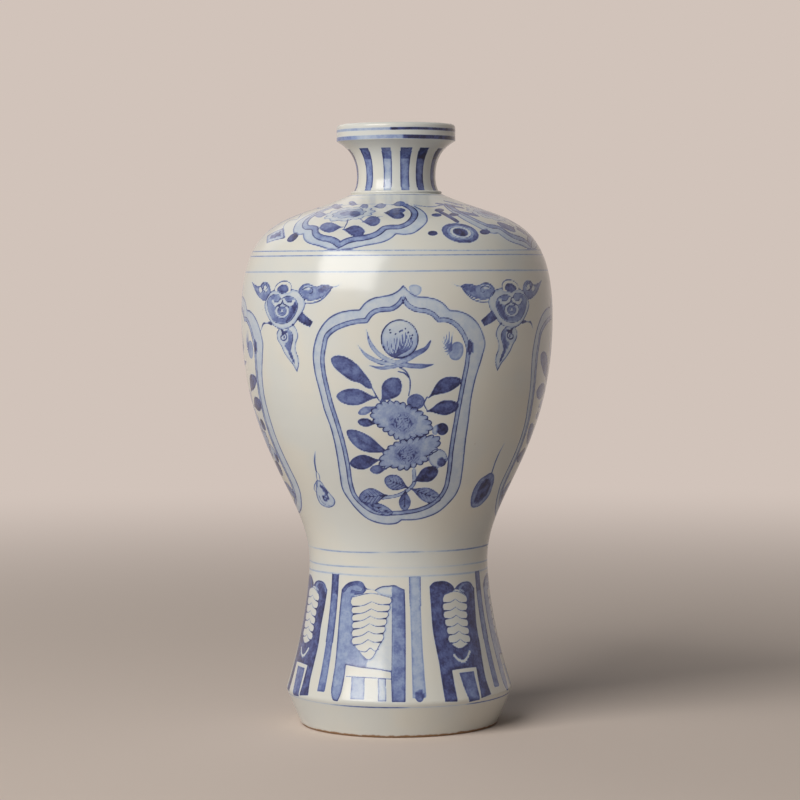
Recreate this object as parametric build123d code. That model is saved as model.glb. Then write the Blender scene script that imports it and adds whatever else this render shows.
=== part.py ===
"""Meiping vase: a small mouth, broad shoulders, a narrow waist and a spreading skirt foot.

It is thrown in five sections, which are luted together with slip before glazing. The base
disc carries the skirt, the skirt carries the lower body, and so on up to the mouth. Each
joint holds a ring of slip, with a bead where it squeezed out or was smoothed with a coil.
Origin: centre of the foot ring, on the surface that the vase stands on. +Z is up.
All sizes are in millimetres.
"""

import os

from build123d import *

# Foot and base disc
foot_radius = 49.3
foot_ring_width = 7.5
foot_edge_rounding = 0.9
base_recess_depth = 5.5
base_disc_height = 12.0

# Skirt, from its widest edge up to the waist
skirt_edge_height = 17.9
skirt_radius = 56.9
skirt_edge_rounding = 3.2
skirt_rise = 64.1
skirt_wall = 6.6
base_joint_width = 3.8

# Waist and lower body, from the waist up to the widest part of the belly
waist_radius = 44.8
belly_rise = 122.5
belly_radius = 78.0
belly_joint_drop = 21.5
body_wall = 5.2

# Shoulder, from the widest part of the belly up to the neck
shoulder_rise = 61.5
shoulder_wall = 5.0

# Neck, with a straight throat inside
neck_radius = 19.65
neck_base_spread = 2.35
neck_lower_rise = 8.5
neck_flare_rise = 17.5
neck_wall = 4.0
throat_length = 13.0

# Rim, a plain upright band
rim_radius = 29.7
rim_band_height = 8.3
rim_wall = 4.2
rim_outer_rounding = 1.8
rim_inner_rounding = 1.4

# Slip in the joints
slip_thickness = 0.6
inner_bead_radius = 1.6
base_coil_radius = 2.6
neck_bead_radius = 0.8

# How far a cutting slab reaches past the widest part
slab_overrun = 10.0

# Shares that bend each stretch of the outline between its two ends
skirt_start_share = 0.43
skirt_start_slope_share = 0.33
skirt_end_share = 0.16
waist_share = 0.28
belly_low_share = 0.56
belly_high_share = 0.87
shoulder_reach_share = 0.53
shoulder_slope_share = 0.48
neck_lower_share = 0.35
neck_throat_share = 0.67
rim_approach_share = 0.10
rim_flare_share = 1.9
mouth_low_share = 0.35
mouth_high_share = 0.54
mouth_width_share = 0.70

# Where the inner face is set off from the outer one along each stretch
inner_face_shares = [0, 0.2, 0.4, 0.6, 0.8, 1]

# Heights above the surface that the vase stands on
waist_height = skirt_edge_height + skirt_rise
belly_height = waist_height + belly_rise
belly_joint_height = belly_height - belly_joint_drop
neck_base_height = belly_height + shoulder_rise
neck_narrow_height = neck_base_height + neck_lower_rise
rim_foot_height = neck_narrow_height + neck_flare_rise
rim_top_height = rim_foot_height + rim_band_height

# Radii and heights of the neck, the throat and the mouth
neck_base_radius = neck_radius + neck_base_spread
throat_radius = neck_radius - neck_wall
throat_bottom_height = neck_base_height - shoulder_wall
throat_top_height = neck_base_height + throat_length
mouth_radius = rim_radius - rim_wall
mouth_rise = rim_top_height - throat_top_height


def at(radius, height):
    """A point of the half section, beside the vase's axis."""
    return Vector(radius, 0, height)


def skirt_outline():
    start = at(skirt_radius, skirt_edge_height)
    lift = skirt_start_share * skirt_rise
    leaving = at(skirt_radius - skirt_start_slope_share * lift, skirt_edge_height + lift)
    arriving = at(waist_radius, waist_height - skirt_end_share * skirt_rise)
    return Bezier(start, leaving, arriving, at(waist_radius, waist_height))


def lower_body_outline():
    leaving = at(waist_radius, waist_height + waist_share * belly_rise)
    arriving = at(belly_radius, belly_height - belly_low_share * belly_rise)
    return Bezier(at(waist_radius, waist_height), leaving, arriving, at(belly_radius, belly_height))


def shoulder_outline():
    reach = shoulder_reach_share * (belly_radius - neck_base_radius)
    leaving = at(belly_radius, belly_height + belly_high_share * shoulder_rise)
    arriving = at(neck_base_radius + reach, neck_base_height - shoulder_slope_share * reach)
    end = at(neck_base_radius, neck_base_height)
    return Bezier(at(belly_radius, belly_height), leaving, arriving, end)


def neck_outlines():
    bend = at(neck_radius, neck_base_height + neck_lower_share * neck_lower_rise)
    narrow = at(neck_radius, neck_narrow_height)
    approach = rim_approach_share * neck_flare_rise
    leaving = at(neck_radius, neck_narrow_height + neck_throat_share * neck_flare_rise)
    arriving = at(rim_radius - rim_flare_share * approach, rim_foot_height - approach)
    lower = Bezier(at(neck_base_radius, neck_base_height), bend, narrow)
    flare = Bezier(narrow, leaving, arriving, at(rim_radius, rim_foot_height))
    return [lower, flare]


def set_off_inwards(outline, wall):
    """Points one wall inside an outline that runs up the outer face."""
    points = []
    for share in inner_face_shares:
        direction = outline % share
        points.append(outline @ share + Vector(-direction.Z, 0, direction.X) * wall)
    return points


def mouth_outline():
    spread = mouth_radius - throat_radius
    leaving = at(throat_radius, throat_top_height + mouth_low_share * mouth_rise)
    arriving = at(
        throat_radius + mouth_width_share * spread,
        throat_top_height + mouth_high_share * mouth_rise,
    )
    start = at(throat_radius, throat_top_height)
    return Bezier(start, leaving, arriving, at(mouth_radius, rim_top_height))


def make_wall():
    """The pot wall from the base disc to the rim, before it is parted at the joints."""
    skirt = skirt_outline()
    lower = lower_body_outline()
    shoulder = shoulder_outline()
    bevel = Line(at(foot_radius, 0), skirt @ 0)
    joint_edge = bevel @ (base_disc_height / skirt_edge_height)
    outer = [Line(joint_edge, skirt @ 0), skirt, lower, shoulder] + neck_outlines()
    outer.append(Line(at(rim_radius, rim_foot_height), at(rim_radius, rim_top_height)))

    inside_skirt = set_off_inwards(skirt, skirt_wall)
    inside_skirt[-1] = at(waist_radius - body_wall, waist_height)
    inside_lower = set_off_inwards(lower, body_wall)
    inside_belly = at(belly_radius - body_wall, belly_height)
    inside_shoulder = set_off_inwards(shoulder, shoulder_wall)
    inside_shoulder[0] = inside_belly
    inside_shoulder[-1] = at(throat_radius, throat_bottom_height)
    upright = Vector(0, 0, 1)
    floor_edge = joint_edge - at(base_joint_width, 0)
    inner = [
        Line(floor_edge, inside_skirt[0]),
        Spline(*inside_skirt, tangents=(skirt % 0, upright)),
        Spline(*inside_lower, tangents=(upright, upright)),
        Spline(*inside_shoulder, tangents=(upright, shoulder % 1)),
        Line(inside_shoulder[-1], at(throat_radius, throat_top_height)),
        mouth_outline(),
        Line(at(mouth_radius, rim_top_height), at(rim_radius, rim_top_height)),
        Line(floor_edge, joint_edge),
    ]
    return revolve(make_face(Curve() + outer + inner), Axis.Z)


def round_edge(solid, radius, height, rounding):
    """Round the edge that circles the axis nearest to one point of the half section."""
    circles = solid.edges().filter_by(GeomType.CIRCLE)
    return fillet(circles.sort_by_distance(at(radius, height))[0], rounding)


def slab(low, high):
    """A flat slice of space between two heights, wider than the vase."""
    reach = max(belly_radius, skirt_radius) + slab_overrun
    return Pos(0, 0, low) * Cylinder(reach, high - low, align=(Align.CENTER, Align.CENTER, Align.MIN))


def make_base_disc(joint_radius):
    """A thick disc with a foot ring turned on its underside."""
    recess_radius = foot_radius - foot_ring_width
    disc = revolve(
        make_face(
            Polyline(
                at(0, base_recess_depth),
                at(recess_radius, base_recess_depth),
                at(recess_radius, 0),
                at(foot_radius, 0),
                at(joint_radius, base_disc_height),
                at(0, base_disc_height),
                close=True,
            )
        ),
        Axis.Z,
    )
    disc = round_edge(disc, foot_radius, 0, foot_edge_rounding)
    return round_edge(disc, recess_radius, 0, foot_edge_rounding)


def ring_radii(ring):
    """Inner and outer radius of the flat face under a ring, whose seam lies on +X."""
    reaches = [vertex.X for vertex in ring.faces().sort_by(Axis.Z)[0].vertices()]
    return min(reaches), max(reaches)


def make_bead(height, radius, bead_radius):
    """A round bead of slip that runs along the joint at one height."""
    return Pos(0, 0, height + slip_thickness / 2) * Torus(radius, bead_radius)


wall = make_wall()
wall = round_edge(wall, skirt_radius, skirt_edge_height, skirt_edge_rounding)
wall = round_edge(wall, rim_radius, rim_top_height, rim_outer_rounding)
wall = round_edge(wall, mouth_radius, rim_top_height, rim_inner_rounding)

joint_heights = {
    "base": base_disc_height,
    "waist": waist_height,
    "belly": belly_joint_height,
    "neck": neck_base_height,
}
rings = {name: wall & slab(low, low + slip_thickness) for name, low in joint_heights.items()}

inner_bead_radii = {"base": base_coil_radius, "waist": inner_bead_radius, "belly": inner_bead_radius}
beads = {"neck": make_bead(neck_base_height, neck_base_radius, neck_bead_radius)}
for name, bead_radius in inner_bead_radii.items():
    beads[name] = make_bead(joint_heights[name], ring_radii(rings[name])[0], bead_radius)

parts = {name + "_luting": rings[name] + beads[name] for name in joint_heights}
parts["base_disc"] = make_base_disc(ring_radii(rings["base"])[1]) - beads["base"]
sections = {
    "skirt": ("base", "waist"),
    "lower_body": ("waist", "belly"),
    "upper_body": ("belly", "neck"),
}
for name, (below, above) in sections.items():
    piece = wall & slab(joint_heights[below] + slip_thickness, joint_heights[above])
    parts[name] = piece - beads[below] - beads[above]
neck = wall & slab(neck_base_height + slip_thickness, rim_top_height + slab_overrun)
parts["neck_and_mouth"] = neck - beads["neck"]

os.makedirs("parts", exist_ok=True)
for name, part in parts.items():
    export_step(part, "parts/" + name + ".step")
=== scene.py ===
import math

import bmesh
import bpy
import numpy as np
from mathutils import Matrix, Vector
from mathutils.geometry import interpolate_bezier


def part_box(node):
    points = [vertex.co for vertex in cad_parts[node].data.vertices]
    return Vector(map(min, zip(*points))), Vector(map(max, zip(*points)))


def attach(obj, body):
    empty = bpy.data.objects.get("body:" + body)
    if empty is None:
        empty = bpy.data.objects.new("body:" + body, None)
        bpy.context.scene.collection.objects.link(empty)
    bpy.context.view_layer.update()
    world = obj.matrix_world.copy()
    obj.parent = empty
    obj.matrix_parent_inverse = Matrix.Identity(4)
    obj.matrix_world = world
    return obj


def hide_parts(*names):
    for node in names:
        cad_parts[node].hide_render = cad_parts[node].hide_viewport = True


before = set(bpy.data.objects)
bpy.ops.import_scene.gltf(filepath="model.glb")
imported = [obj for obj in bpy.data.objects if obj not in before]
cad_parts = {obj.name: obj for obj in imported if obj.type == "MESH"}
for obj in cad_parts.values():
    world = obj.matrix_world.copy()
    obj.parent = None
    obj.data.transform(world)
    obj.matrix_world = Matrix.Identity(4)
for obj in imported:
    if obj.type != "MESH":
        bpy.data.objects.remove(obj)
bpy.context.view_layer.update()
mm = 0.001
print("frame loaded")


# Outline of the pot in millimetres: joints and widest places come from the frame

sectionsBelow = ("base_disc", "skirt", "lower_body", "upper_body")
jointHeights = {name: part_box(name)[1].z / mm for name in sectionsBelow}
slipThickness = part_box("lower_body")[0].z / mm - jointHeights["skirt"]

pot = {
    "footRadius": 49.3, "footRounding": 0.9, "footRingWidth": 7.5, "recessDepth": 5.5,
    "skirtRadius": 56.9, "skirtEdgeHeight": 17.9, "skirtRounding": 3.2,
    "waistRadius": 44.8, "waistHeight": jointHeights["skirt"],
    "bellyRadius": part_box("upper_body")[1].x / mm, "bellyHeight": 204.5,
    "neckBaseRadius": 22.0, "neckBaseHeight": jointHeights["upper_body"],
    "neckRadius": 19.65, "neckHeight": 274.5,
    "rimRadius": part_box("neck_and_mouth")[1].x / mm, "rimFootHeight": 292.0,
    "rimTopHeight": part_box("neck_and_mouth")[1].z / mm, "rimRounding": 1.8,
    "rimWall": 4.2, "lipRounding": 1.4, "throatRadius": 15.65, "throatTopHeight": 279.0,
    "wallHeights": (17.9, 82.0, 204.5, 266.0), "walls": (6.6, 5.2, 5.2, 5.0), "baseJointWidth": 3.8,
}

# Shares that bend each stretch, as (radius share, height share) of the run from one end
bends = {
    "skirt": (0.43, 0.33, 0.16), "belly": (0.28, 0.56), "shoulder": (0.87, 0.53, 0.48),
    "neck": 0.35, "flare": (0.67, 0.10, 1.9), "mouth": (0.35, 0.70, 0.54),
}
finestStep = 0.1
outlineCounts = {"curve": 400, "corner": 24, "bevel": 60, "rimBand": 30}
neckHandle = 2 / 3  # reach of the neck's handles towards its bend
tiny = 1e-9  # keeps divisions away from zero


def bezierPoints(*corners, count=outlineCounts["curve"]):
    points = interpolate_bezier(*(Vector(p) for p in corners), count)
    return np.array([tuple(p) for p in points])


def roundedCorner(before, corner, after, radius, count=outlineCounts["corner"]):
    before, corner, after = (np.array(p, float) for p in (before, corner, after))
    first = (before - corner) / np.linalg.norm(before - corner)
    second = (after - corner) / np.linalg.norm(after - corner)
    turn = math.pi - math.acos(float(np.clip(first @ second, -1, 1)))
    reach = radius * math.tan(turn / 2)
    handle = reach - radius * 4 / 3 * math.tan(turn / 4)
    return bezierPoints(corner + first * reach, corner + first * handle,
                        corner + second * handle, corner + second * reach, count=count)


def outerOutline():
    skirtTop = np.array((pot["waistRadius"], pot["waistHeight"]))
    skirtFoot = np.array((pot["skirtRadius"], pot["skirtEdgeHeight"]))
    belly = np.array((pot["bellyRadius"], pot["bellyHeight"]))
    neckBase = np.array((pot["neckBaseRadius"], pot["neckBaseHeight"]))
    narrow = np.array((pot["neckRadius"], pot["neckHeight"]))
    rimFoot = np.array((pot["rimRadius"], pot["rimFootHeight"]))
    skirtRise, bellyRise = skirtTop[1] - skirtFoot[1], belly[1] - skirtTop[1]
    shoulderRise, neckRise = neckBase[1] - belly[1], narrow[1] - neckBase[1]
    flareRise = rimFoot[1] - narrow[1]
    leave, slope, arrive = bends["skirt"]
    skirt = bezierPoints(skirtFoot, skirtFoot + (-slope * leave * skirtRise, leave * skirtRise),
                         skirtTop - (0, arrive * skirtRise), skirtTop)
    foot = (pot["footRadius"], 0)
    toe = roundedCorner((0, 0), foot, skirtFoot, pot["footRounding"])
    edge = roundedCorner(foot, skirtFoot, skirt[1], pot["skirtRounding"])
    shares = np.linspace(0, 1, outlineCounts["bevel"])
    bevel = np.array([toe[-1] + (edge[0] - toe[-1]) * share for share in shares])
    skirt = skirt[skirt[:, 1] > edge[-1, 1] + finestStep]
    leave, arrive = bends["belly"]
    lower = bezierPoints(skirtTop, skirtTop + (0, leave * bellyRise),
                         belly - (0, arrive * bellyRise), belly)
    leave, reach, slope = bends["shoulder"]
    reach *= belly[0] - neckBase[0]
    shoulder = bezierPoints(belly, belly + (0, leave * shoulderRise),
                            neckBase + (reach, -slope * reach), neckBase)
    bend = np.array((narrow[0], neckBase[1] + bends["neck"] * neckRise))
    neck = bezierPoints(neckBase, neckBase + (bend - neckBase) * neckHandle,
                        narrow + (bend - narrow) * neckHandle, narrow)
    leave, approach, flareOut = bends["flare"]
    approach *= flareRise
    flare = bezierPoints(narrow, narrow + (0, leave * flareRise),
                         rimFoot - (flareOut * approach, approach), rimFoot)
    lipCorner = (pot["rimRadius"], pot["rimTopHeight"])
    rim = roundedCorner(rimFoot, lipCorner, (0, pot["rimTopHeight"]), pot["rimRounding"])
    shares = np.linspace(0, 1, outlineCounts["rimBand"])
    band = np.array([rimFoot + (rim[0] - rimFoot) * share for share in shares])
    return np.vstack([toe, bevel[1:-1], edge, skirt, lower[1:], shoulder[1:], neck[1:], flare[1:],
                      band[1:-1], rim])


outline = outerOutline()
outlineRun = np.gradient(outline, axis=0)
outlineRun /= np.linalg.norm(outlineRun, axis=1)[:, None]
outlineLength = np.concatenate([[0], np.cumsum(np.linalg.norm(np.diff(outline, axis=0), axis=1))])


def lengthAt(height):  # arc length up the outside, mm
    return np.interp(height, outline[:, 1], outlineLength)


def radiusAt(length):
    return np.interp(length, outlineLength, outline[:, 0])


def innerOutline():
    walls = np.interp(outline[:, 1], pot["wallHeights"], pot["walls"])
    inner = outline + np.column_stack([-outlineRun[:, 1], outlineRun[:, 0]]) * walls[:, None]
    inner = inner[(outline[:, 1] > pot["skirtEdgeHeight"]) & (outline[:, 1] < pot["neckBaseHeight"])]
    joint = jointHeights["base_disc"]
    inner = np.vstack([(radiusAt(lengthAt(joint)) - pot["baseJointWidth"], joint), inner])
    inner = inner[np.argsort(inner[:, 1])]
    inner[:, 0] = np.maximum(inner[:, 0], pot["throatRadius"])
    return inner


insideFace = innerOutline()


def insideRadius(height):
    return np.interp(height, insideFace[:, 1], insideFace[:, 0])


# Camera: the photo's viewpoint, which also carries the ornament from the photo's frame to the pot

view = {
    "distance": 1350.0, "eyeHeight": 227.8, "aimHeight": 162.5, "aside": 1.25,
    "roll": math.radians(0.34), "lens": 121.0, "sensor": 36.0, "frameSize": 800,
}


def cameraAxes():
    place = np.array((view["aside"], -view["distance"], view["eyeHeight"]))
    ahead = np.array((view["aside"], 0, view["aimHeight"])) - place
    ahead /= np.linalg.norm(ahead)
    right = np.cross(ahead, (0, 0, 1))
    right /= np.linalg.norm(right)
    up = np.cross(right, ahead)
    cosine, sine = math.cos(view["roll"]), math.sin(view["roll"])
    return place, ahead, right * cosine - up * sine, up * cosine + right * sine


def makeCamera():
    place, ahead, right, up = cameraAxes()
    data = bpy.data.cameras.new("camera")
    data.lens, data.sensor_width = view["lens"], view["sensor"]
    data.clip_start, data.clip_end = 0.05, 30
    camera = bpy.data.objects.new("camera", data)
    turn = Matrix([right, up, -ahead]).transposed().to_4x4()
    camera.matrix_world = Matrix.Translation(Vector(place) * mm) @ turn
    bpy.context.scene.collection.objects.link(camera)
    bpy.context.scene.camera = camera


makeCamera()
print("camera in place")


# Angle round the pot (0 at the front, growing to the right) and arc length for points of the photo
def onPot(pixels):
    tries, halvings = 400, 20  # steps along each ray, and how often the step that hits is halved
    pixels = np.atleast_2d(np.array(pixels, float))
    place, ahead, right, up = cameraAxes()
    focal = view["frameSize"] * view["lens"] / view["sensor"]
    offset = (pixels - view["frameSize"] / 2) / focal
    rays = ahead + offset[:, :1] * right - offset[:, 1:] * up
    nearest, farthest = view["distance"] - 100, view["distance"] + 60
    reach = np.linspace(nearest, farthest, tries)

    def clearance(distances):
        points = place + rays[:, None, :] * distances[..., None]
        return np.hypot(points[..., 0], points[..., 1]) - radiusAt(lengthAt(points[..., 2]))

    gaps = clearance(np.broadcast_to(reach, (len(rays), len(reach))))
    hit = np.where((gaps < 0).any(axis=1), (gaps < 0).argmax(axis=1), gaps.argmin(axis=1))
    near, far = reach[np.maximum(hit - 1, 0)], reach[hit]
    for _ in range(halvings):
        middle = (near + far) / 2
        inside = clearance(middle[:, None])[:, 0] < 0
        near, far = np.where(inside, near, middle), np.where(inside, middle, far)
    points = place + rays * far[:, None]
    return np.column_stack([np.arctan2(points[:, 0], -points[:, 1]), lengthAt(points[:, 2])])


# Ornament. A motif is a list of brush marks, drawn flat in millimetres about its own centre
farAway = 3.0  # distance, mm, that stands for bare glaze
markReach = 2.2  # how far from a mark its distance is still worked out
fineWidth = 1.3  # marks narrower than this get the finest mesh
runLength = 12  # segments of a mark that are worked out at a time
motifReach = 1.1  # radians to each side of a motif that can carry its marks
flattest = 1e-4  # least slope that a motif's cone may have
taperPlaces = (0, 0.35, 0.65, 1)  # shares of a line's length where its tapers end
meetFrom = 0.6  # share of its length from which a side line comes back to its path


def newMotif(centre=None, height=0.0):
    angle, length = onPot(centre)[0] if centre else (0.0, lengthAt(height))
    slope = (radiusAt(length + 1) - radiusAt(length - 1)) / 2
    slope = slope if abs(slope) > flattest else flattest
    return {"angle": angle, "length": length, "slope": slope, "marks": []}


# Rolls the pot's surface round a motif out flat, as a cone
def unroll(motif, angles, lengths):
    radius = radiusAt(lengths) / motif["slope"]
    turn = angles * motif["slope"]
    sag = radius * (1 - np.cos(turn))
    return np.column_stack([radius * np.sin(turn), lengths - motif["length"] - sag])


def place(motif, pixels):
    spots = onPot(pixels)
    return unroll(motif, spots[:, 0] - motif["angle"], spots[:, 1])


def placeTurned(motif, spots):  # spots are (degrees from the motif's centre, height in mm)
    spots = np.array(spots, float)
    return unroll(motif, np.radians(spots[:, 0]), lengthAt(spots[:, 1]))


# A smooth line through a few given points
def smoothLine(points, closed=False, step=0.8):
    if closed:
        points = np.vstack([points[-2:], points, points[:3]])
    if len(points) < 3:
        points = np.vstack([points[0], points.mean(axis=0), points[-1]])
    gaps = np.maximum(np.linalg.norm(np.diff(points, axis=0), axis=1), tiny)[:, None]
    pace = np.diff(points, axis=0) / gaps
    middle = (pace[:-1] * gaps[1:] + pace[1:] * gaps[:-1]) / (gaps[1:] + gaps[:-1])
    tangents = np.vstack([pace[:1], middle, pace[-1:]])
    pieces = []
    for i in range(len(points) - 1):
        count = max(2, math.ceil(gaps[i, 0] / step))
        t = (np.arange(count) / count)[:, None]
        leaving = (2 * t**3 - 3 * t**2 + 1) * points[i] + (t**3 - 2 * t**2 + t) * gaps[i] * tangents[i]
        arriving = (3 * t**2 - 2 * t**3) * points[i + 1] + (t**3 - t**2) * gaps[i] * tangents[i + 1]
        pieces.append(leaving + arriving)
    if closed:
        return np.vstack(pieces[2:-2] + [pieces[2][:1]])
    return np.vstack(pieces + [points[-1:]])


# A path is one run of points, or a list of runs that meet in sharp corners, each run starting where
# the one before it ends. A tuple is an oval, and an array is in place already
def trace(motif, path, closed=False):
    if isinstance(path, np.ndarray):
        return path
    if isinstance(path, tuple):
        path = ovalPixels(*path)
    if not isinstance(path[0][0], (tuple, list)):
        return smoothLine(place(motif, path), closed)
    runs = [path[0]] + [before[-1:] + run for before, run in zip(path, path[1:])]
    lines = [smoothLine(place(motif, run)) for run in runs]
    return np.vstack([lines[0]] + [line[1:] for line in lines[1:]])


# Line of a brush. Where meet is set, a line beside the path comes back to it at the end
def stroke(motif, path, width, tone, taper=(1, 1), layer="ink", closed=False, offset=0.0, meet=False):
    line = trace(motif, path, closed)
    if offset:
        run = np.gradient(line, axis=0)
        run /= np.maximum(np.linalg.norm(run, axis=1), tiny)[:, None]
        kept = np.interp(np.linspace(0, 1, len(line)), (meetFrom, 1), (1, 0 if meet else 1))[:, None]
        line = line + np.column_stack([-run[:, 1], run[:, 0]]) * kept * offset
    share = np.concatenate([[0], np.cumsum(np.linalg.norm(np.diff(line, axis=0), axis=1))])
    share /= max(share[-1], tiny)
    radii = width / 2 * np.interp(share, taperPlaces, (taper[0], 1, 1, taper[1]))
    tones = np.interp(share, (0, 1), tone if isinstance(tone, tuple) else (tone, tone))
    for i in range(0, len(line) - 1, runLength):
        end = i + runLength + 1
        motif["marks"].append(("line", line[i:end], radii[i:end], tones[i:end], layer))


def sideLines(motif, path, away, width, tone):  # two lines, one on each side of the path
    for side in (-1, 1):
        stroke(motif, path, width, tone, offset=side * away)


def dot(motif, centre, radius, tone):
    spot = place(motif, [centre])[0]
    line = np.array([spot, spot + (finestStep, 0)])
    motif["marks"].append(("line", line, np.array([radius, radius]), np.array([tone, tone]), "ink"))


def area(motif, path, tone, axis=None):
    polygon = trace(motif, path, closed=True)
    tones = tone if isinstance(tone, tuple) else (tone, tone)
    ends = polygon[[0, len(polygon) // 2]] if axis is None else np.array(axis)
    motif["marks"].append(("area", polygon, ends, tones, "wash"))


def clear(motif, path):
    motif["marks"].append(("clear", trace(motif, path, closed=True), None, None, None))


# A leaf is widest towards its rounded tip and runs out to a point at its base
leafArt = {
    "points": 11, "edgeWidth": 0.5, "edgeDarker": 0.16, "darkest": 0.92, "shading": (1.1, 0.92),
    "ribWidth": 0.6, "ribTaper": (1, 0.5), "veinWidth": 0.5, "veinTaper": (1, 0.7),
    "veinsFrom": 0.1, "veinsTo": 0.72, "veinRise": 0.2, "veinReach": 0.85,
    "fullest": 1.35, "baseSharpness": 1.25, "tipSharpness": 0.5, "step": 0.6,
}


def leafOutline(base, tip, width, bend):
    base, tip = np.array(base, float), np.array(tip, float)
    along = tip - base
    across = np.array((-along[1], along[0])) / np.linalg.norm(along)
    t = np.linspace(0, 1, leafArt["points"])
    sideways = bend * np.linalg.norm(along) * 4 * t * (1 - t)
    middle = base + along * t[:, None] + across * sideways[:, None]
    sharpness = leafArt["baseSharpness"] * (1 - t) + leafArt["tipSharpness"] * t
    half = (width / 2 * np.sin(math.pi * t**leafArt["fullest"]) ** sharpness)[:, None]
    return middle, middle + across * half, middle - across * half


def leaf(motif, base, tip, width, tone, bend=0.0, veins=0):
    look = leafArt
    middle, left, right = leafOutline(base, tip, width, bend)
    edgePoints = place(motif, np.vstack([left, right[-2:0:-1]]))
    polygon = smoothLine(edgePoints, closed=True, step=look["step"])
    baseShade, tipShade = look["shading"]
    area(motif, polygon, (tone * baseShade, tone * tipShade), axis=place(motif, [base, tip]))
    edge = look["darkest"] if veins else min(tone + look["edgeDarker"], look["darkest"])
    stroke(motif, polygon, look["edgeWidth"], edge)
    if veins:
        stroke(motif, middle[:-1].tolist(), look["ribWidth"], edge, look["ribTaper"])
    along = np.linspace(0, 1, look["points"])
    for side in (left, right):
        outer = middle + (side - middle) * look["veinReach"]
        for share in np.linspace(look["veinsFrom"], look["veinsTo"], veins):
            starts = [np.interp(share, along, middle[:, k]) for k in (0, 1)]
            ends = [np.interp(share + look["veinRise"], along, outer[:, k]) for k in (0, 1)]
            stroke(motif, [starts, ends], look["veinWidth"], edge, look["veinTaper"])


scallopPoints = 6  # points of a scalloped edge from one notch to the next


def scalloped(points, count, depth):
    points = np.array(points, float)
    ring = smoothLine(points, closed=True, step=2.0)
    centre = points.mean(axis=0)
    share = np.linspace(0, 1, count * scallopPoints, endpoint=False)
    at = np.concatenate([[0], np.cumsum(np.linalg.norm(np.diff(ring, axis=0), axis=1))])
    ring = np.column_stack([np.interp(share * at[-1], at, ring[:, k]) for k in (0, 1)])
    out = ring - centre
    out /= np.linalg.norm(out, axis=1)[:, None]
    return ring + out * (depth * (np.abs(np.sin(math.pi * count * share)) - 0.5))[:, None]


def arcPixels(centre, radius, start, end, count=12):
    turns = np.radians(np.linspace(start, end, count))
    return [(centre[0] + radius * math.cos(a), centre[1] - radius * math.sin(a)) for a in turns]


def ovalPixels(centre, halfWidth, halfHeight, count=12):
    turns = np.linspace(0, 2 * math.pi, count, endpoint=False)
    return [(centre[0] + halfWidth * math.cos(a), centre[1] - halfHeight * math.sin(a)) for a in turns]


curlPoints, curlShrinks, curlTaper = 14, 0.8, (1, 0.7)  # a curl winds in by this share of its radius


def curl(motif, centre, radius, start, turns, width, tone):
    steps = np.linspace(0, 1, curlPoints)
    turn = np.radians(start) + steps * turns * 2 * math.pi
    away = radius * (1 - curlShrinks * steps)
    across, down = centre[0] + away * np.cos(turn), centre[1] - away * np.sin(turn)
    stroke(motif, list(zip(across.tolist(), down.tolist())), width, tone, curlTaper)


def ringLine(motif, path, width, tone):
    stroke(motif, path, width, tone, closed=True)


def washLine(motif, path, width, tone, taper=(1, 1)):
    stroke(motif, path, width, tone, taper, layer="wash")


# A mark in a list is the name of its path, its brush, and the brush's numbers: widths and distances
# from the path are in mm, tones run from 0 to 1, and a pair is a tone or a taper from end to end
brushes = {
    "fill": area, "bare": clear, "line": stroke, "ring": ringLine, "wash": washLine,
    "sides": sideLines, "curl": curl,
}


def drawMarks(motif, art, marks):
    for name, brush, *numbers in marks:
        brushes[brush](motif, art[name], *numbers)


def drawCharm(art):
    motif = newMotif(art["centre"])
    drawMarks(motif, art, art["marks"])
    return motif


# Distances from points to the segments of one mark
def toSegments(points, line):
    start, run = line[:-1], np.diff(line, axis=0)
    size = np.maximum((run**2).sum(axis=1), tiny)
    away = points[:, None, :] - start[None]
    share = np.clip((away * run).sum(axis=2) / size, 0, 1)
    return np.linalg.norm(away - share[..., None] * run, axis=2), share


def signedDistance(points, polygon):
    ring = np.vstack([polygon, polygon[:1]])
    distance, crossings = np.full(len(points), farAway), np.zeros(len(points), int)
    for i in range(0, len(polygon), runLength):
        part = ring[i:i + runLength + 1]
        low, high = part.min(axis=0), part.max(axis=0)
        level = (points[:, 1] >= low[1]) & (points[:, 1] < high[1]) & (points[:, 0] < high[0])
        near = np.flatnonzero(((points > low - markReach) & (points < high + markReach)).all(axis=1))
        if len(near):
            distance[near] = np.minimum(distance[near], toSegments(points[near], part)[0].min(axis=1))
        level = np.flatnonzero(level)
        if len(level):
            x, y = points[level, :1], points[level, 1:]
            (x0, y0), (x1, y1) = part[:-1].T, part[1:].T
            rise = np.where(y1 == y0, tiny, y1 - y0)
            crossed = ((y0 > y) != (y1 > y)) & (x < x0 + (y - y0) / rise * (x1 - x0))
            crossings[level] += crossed.sum(axis=1)
    return np.where(crossings % 2 == 1, -distance, distance)


def newCanvas(count):
    canvas = {layer: np.full(count, farAway) for layer in ("ink", "wash", "fine")}
    canvas.update({layer + "Tone": np.zeros(count) for layer in ("ink", "wash")})
    return canvas


def layMark(canvas, layer, index, value, tone, middle=None):
    known = canvas[layer][index]
    nearer = (value < known) if layer == "ink" else (value < known) | (value < 0)
    canvas[layer][index] = np.minimum(known, value)
    canvas[layer + "Tone"][index] = np.where(nearer, tone, canvas[layer + "Tone"][index])
    if middle is not None:
        canvas["fine"][index] = np.minimum(canvas["fine"][index], middle)


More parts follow.
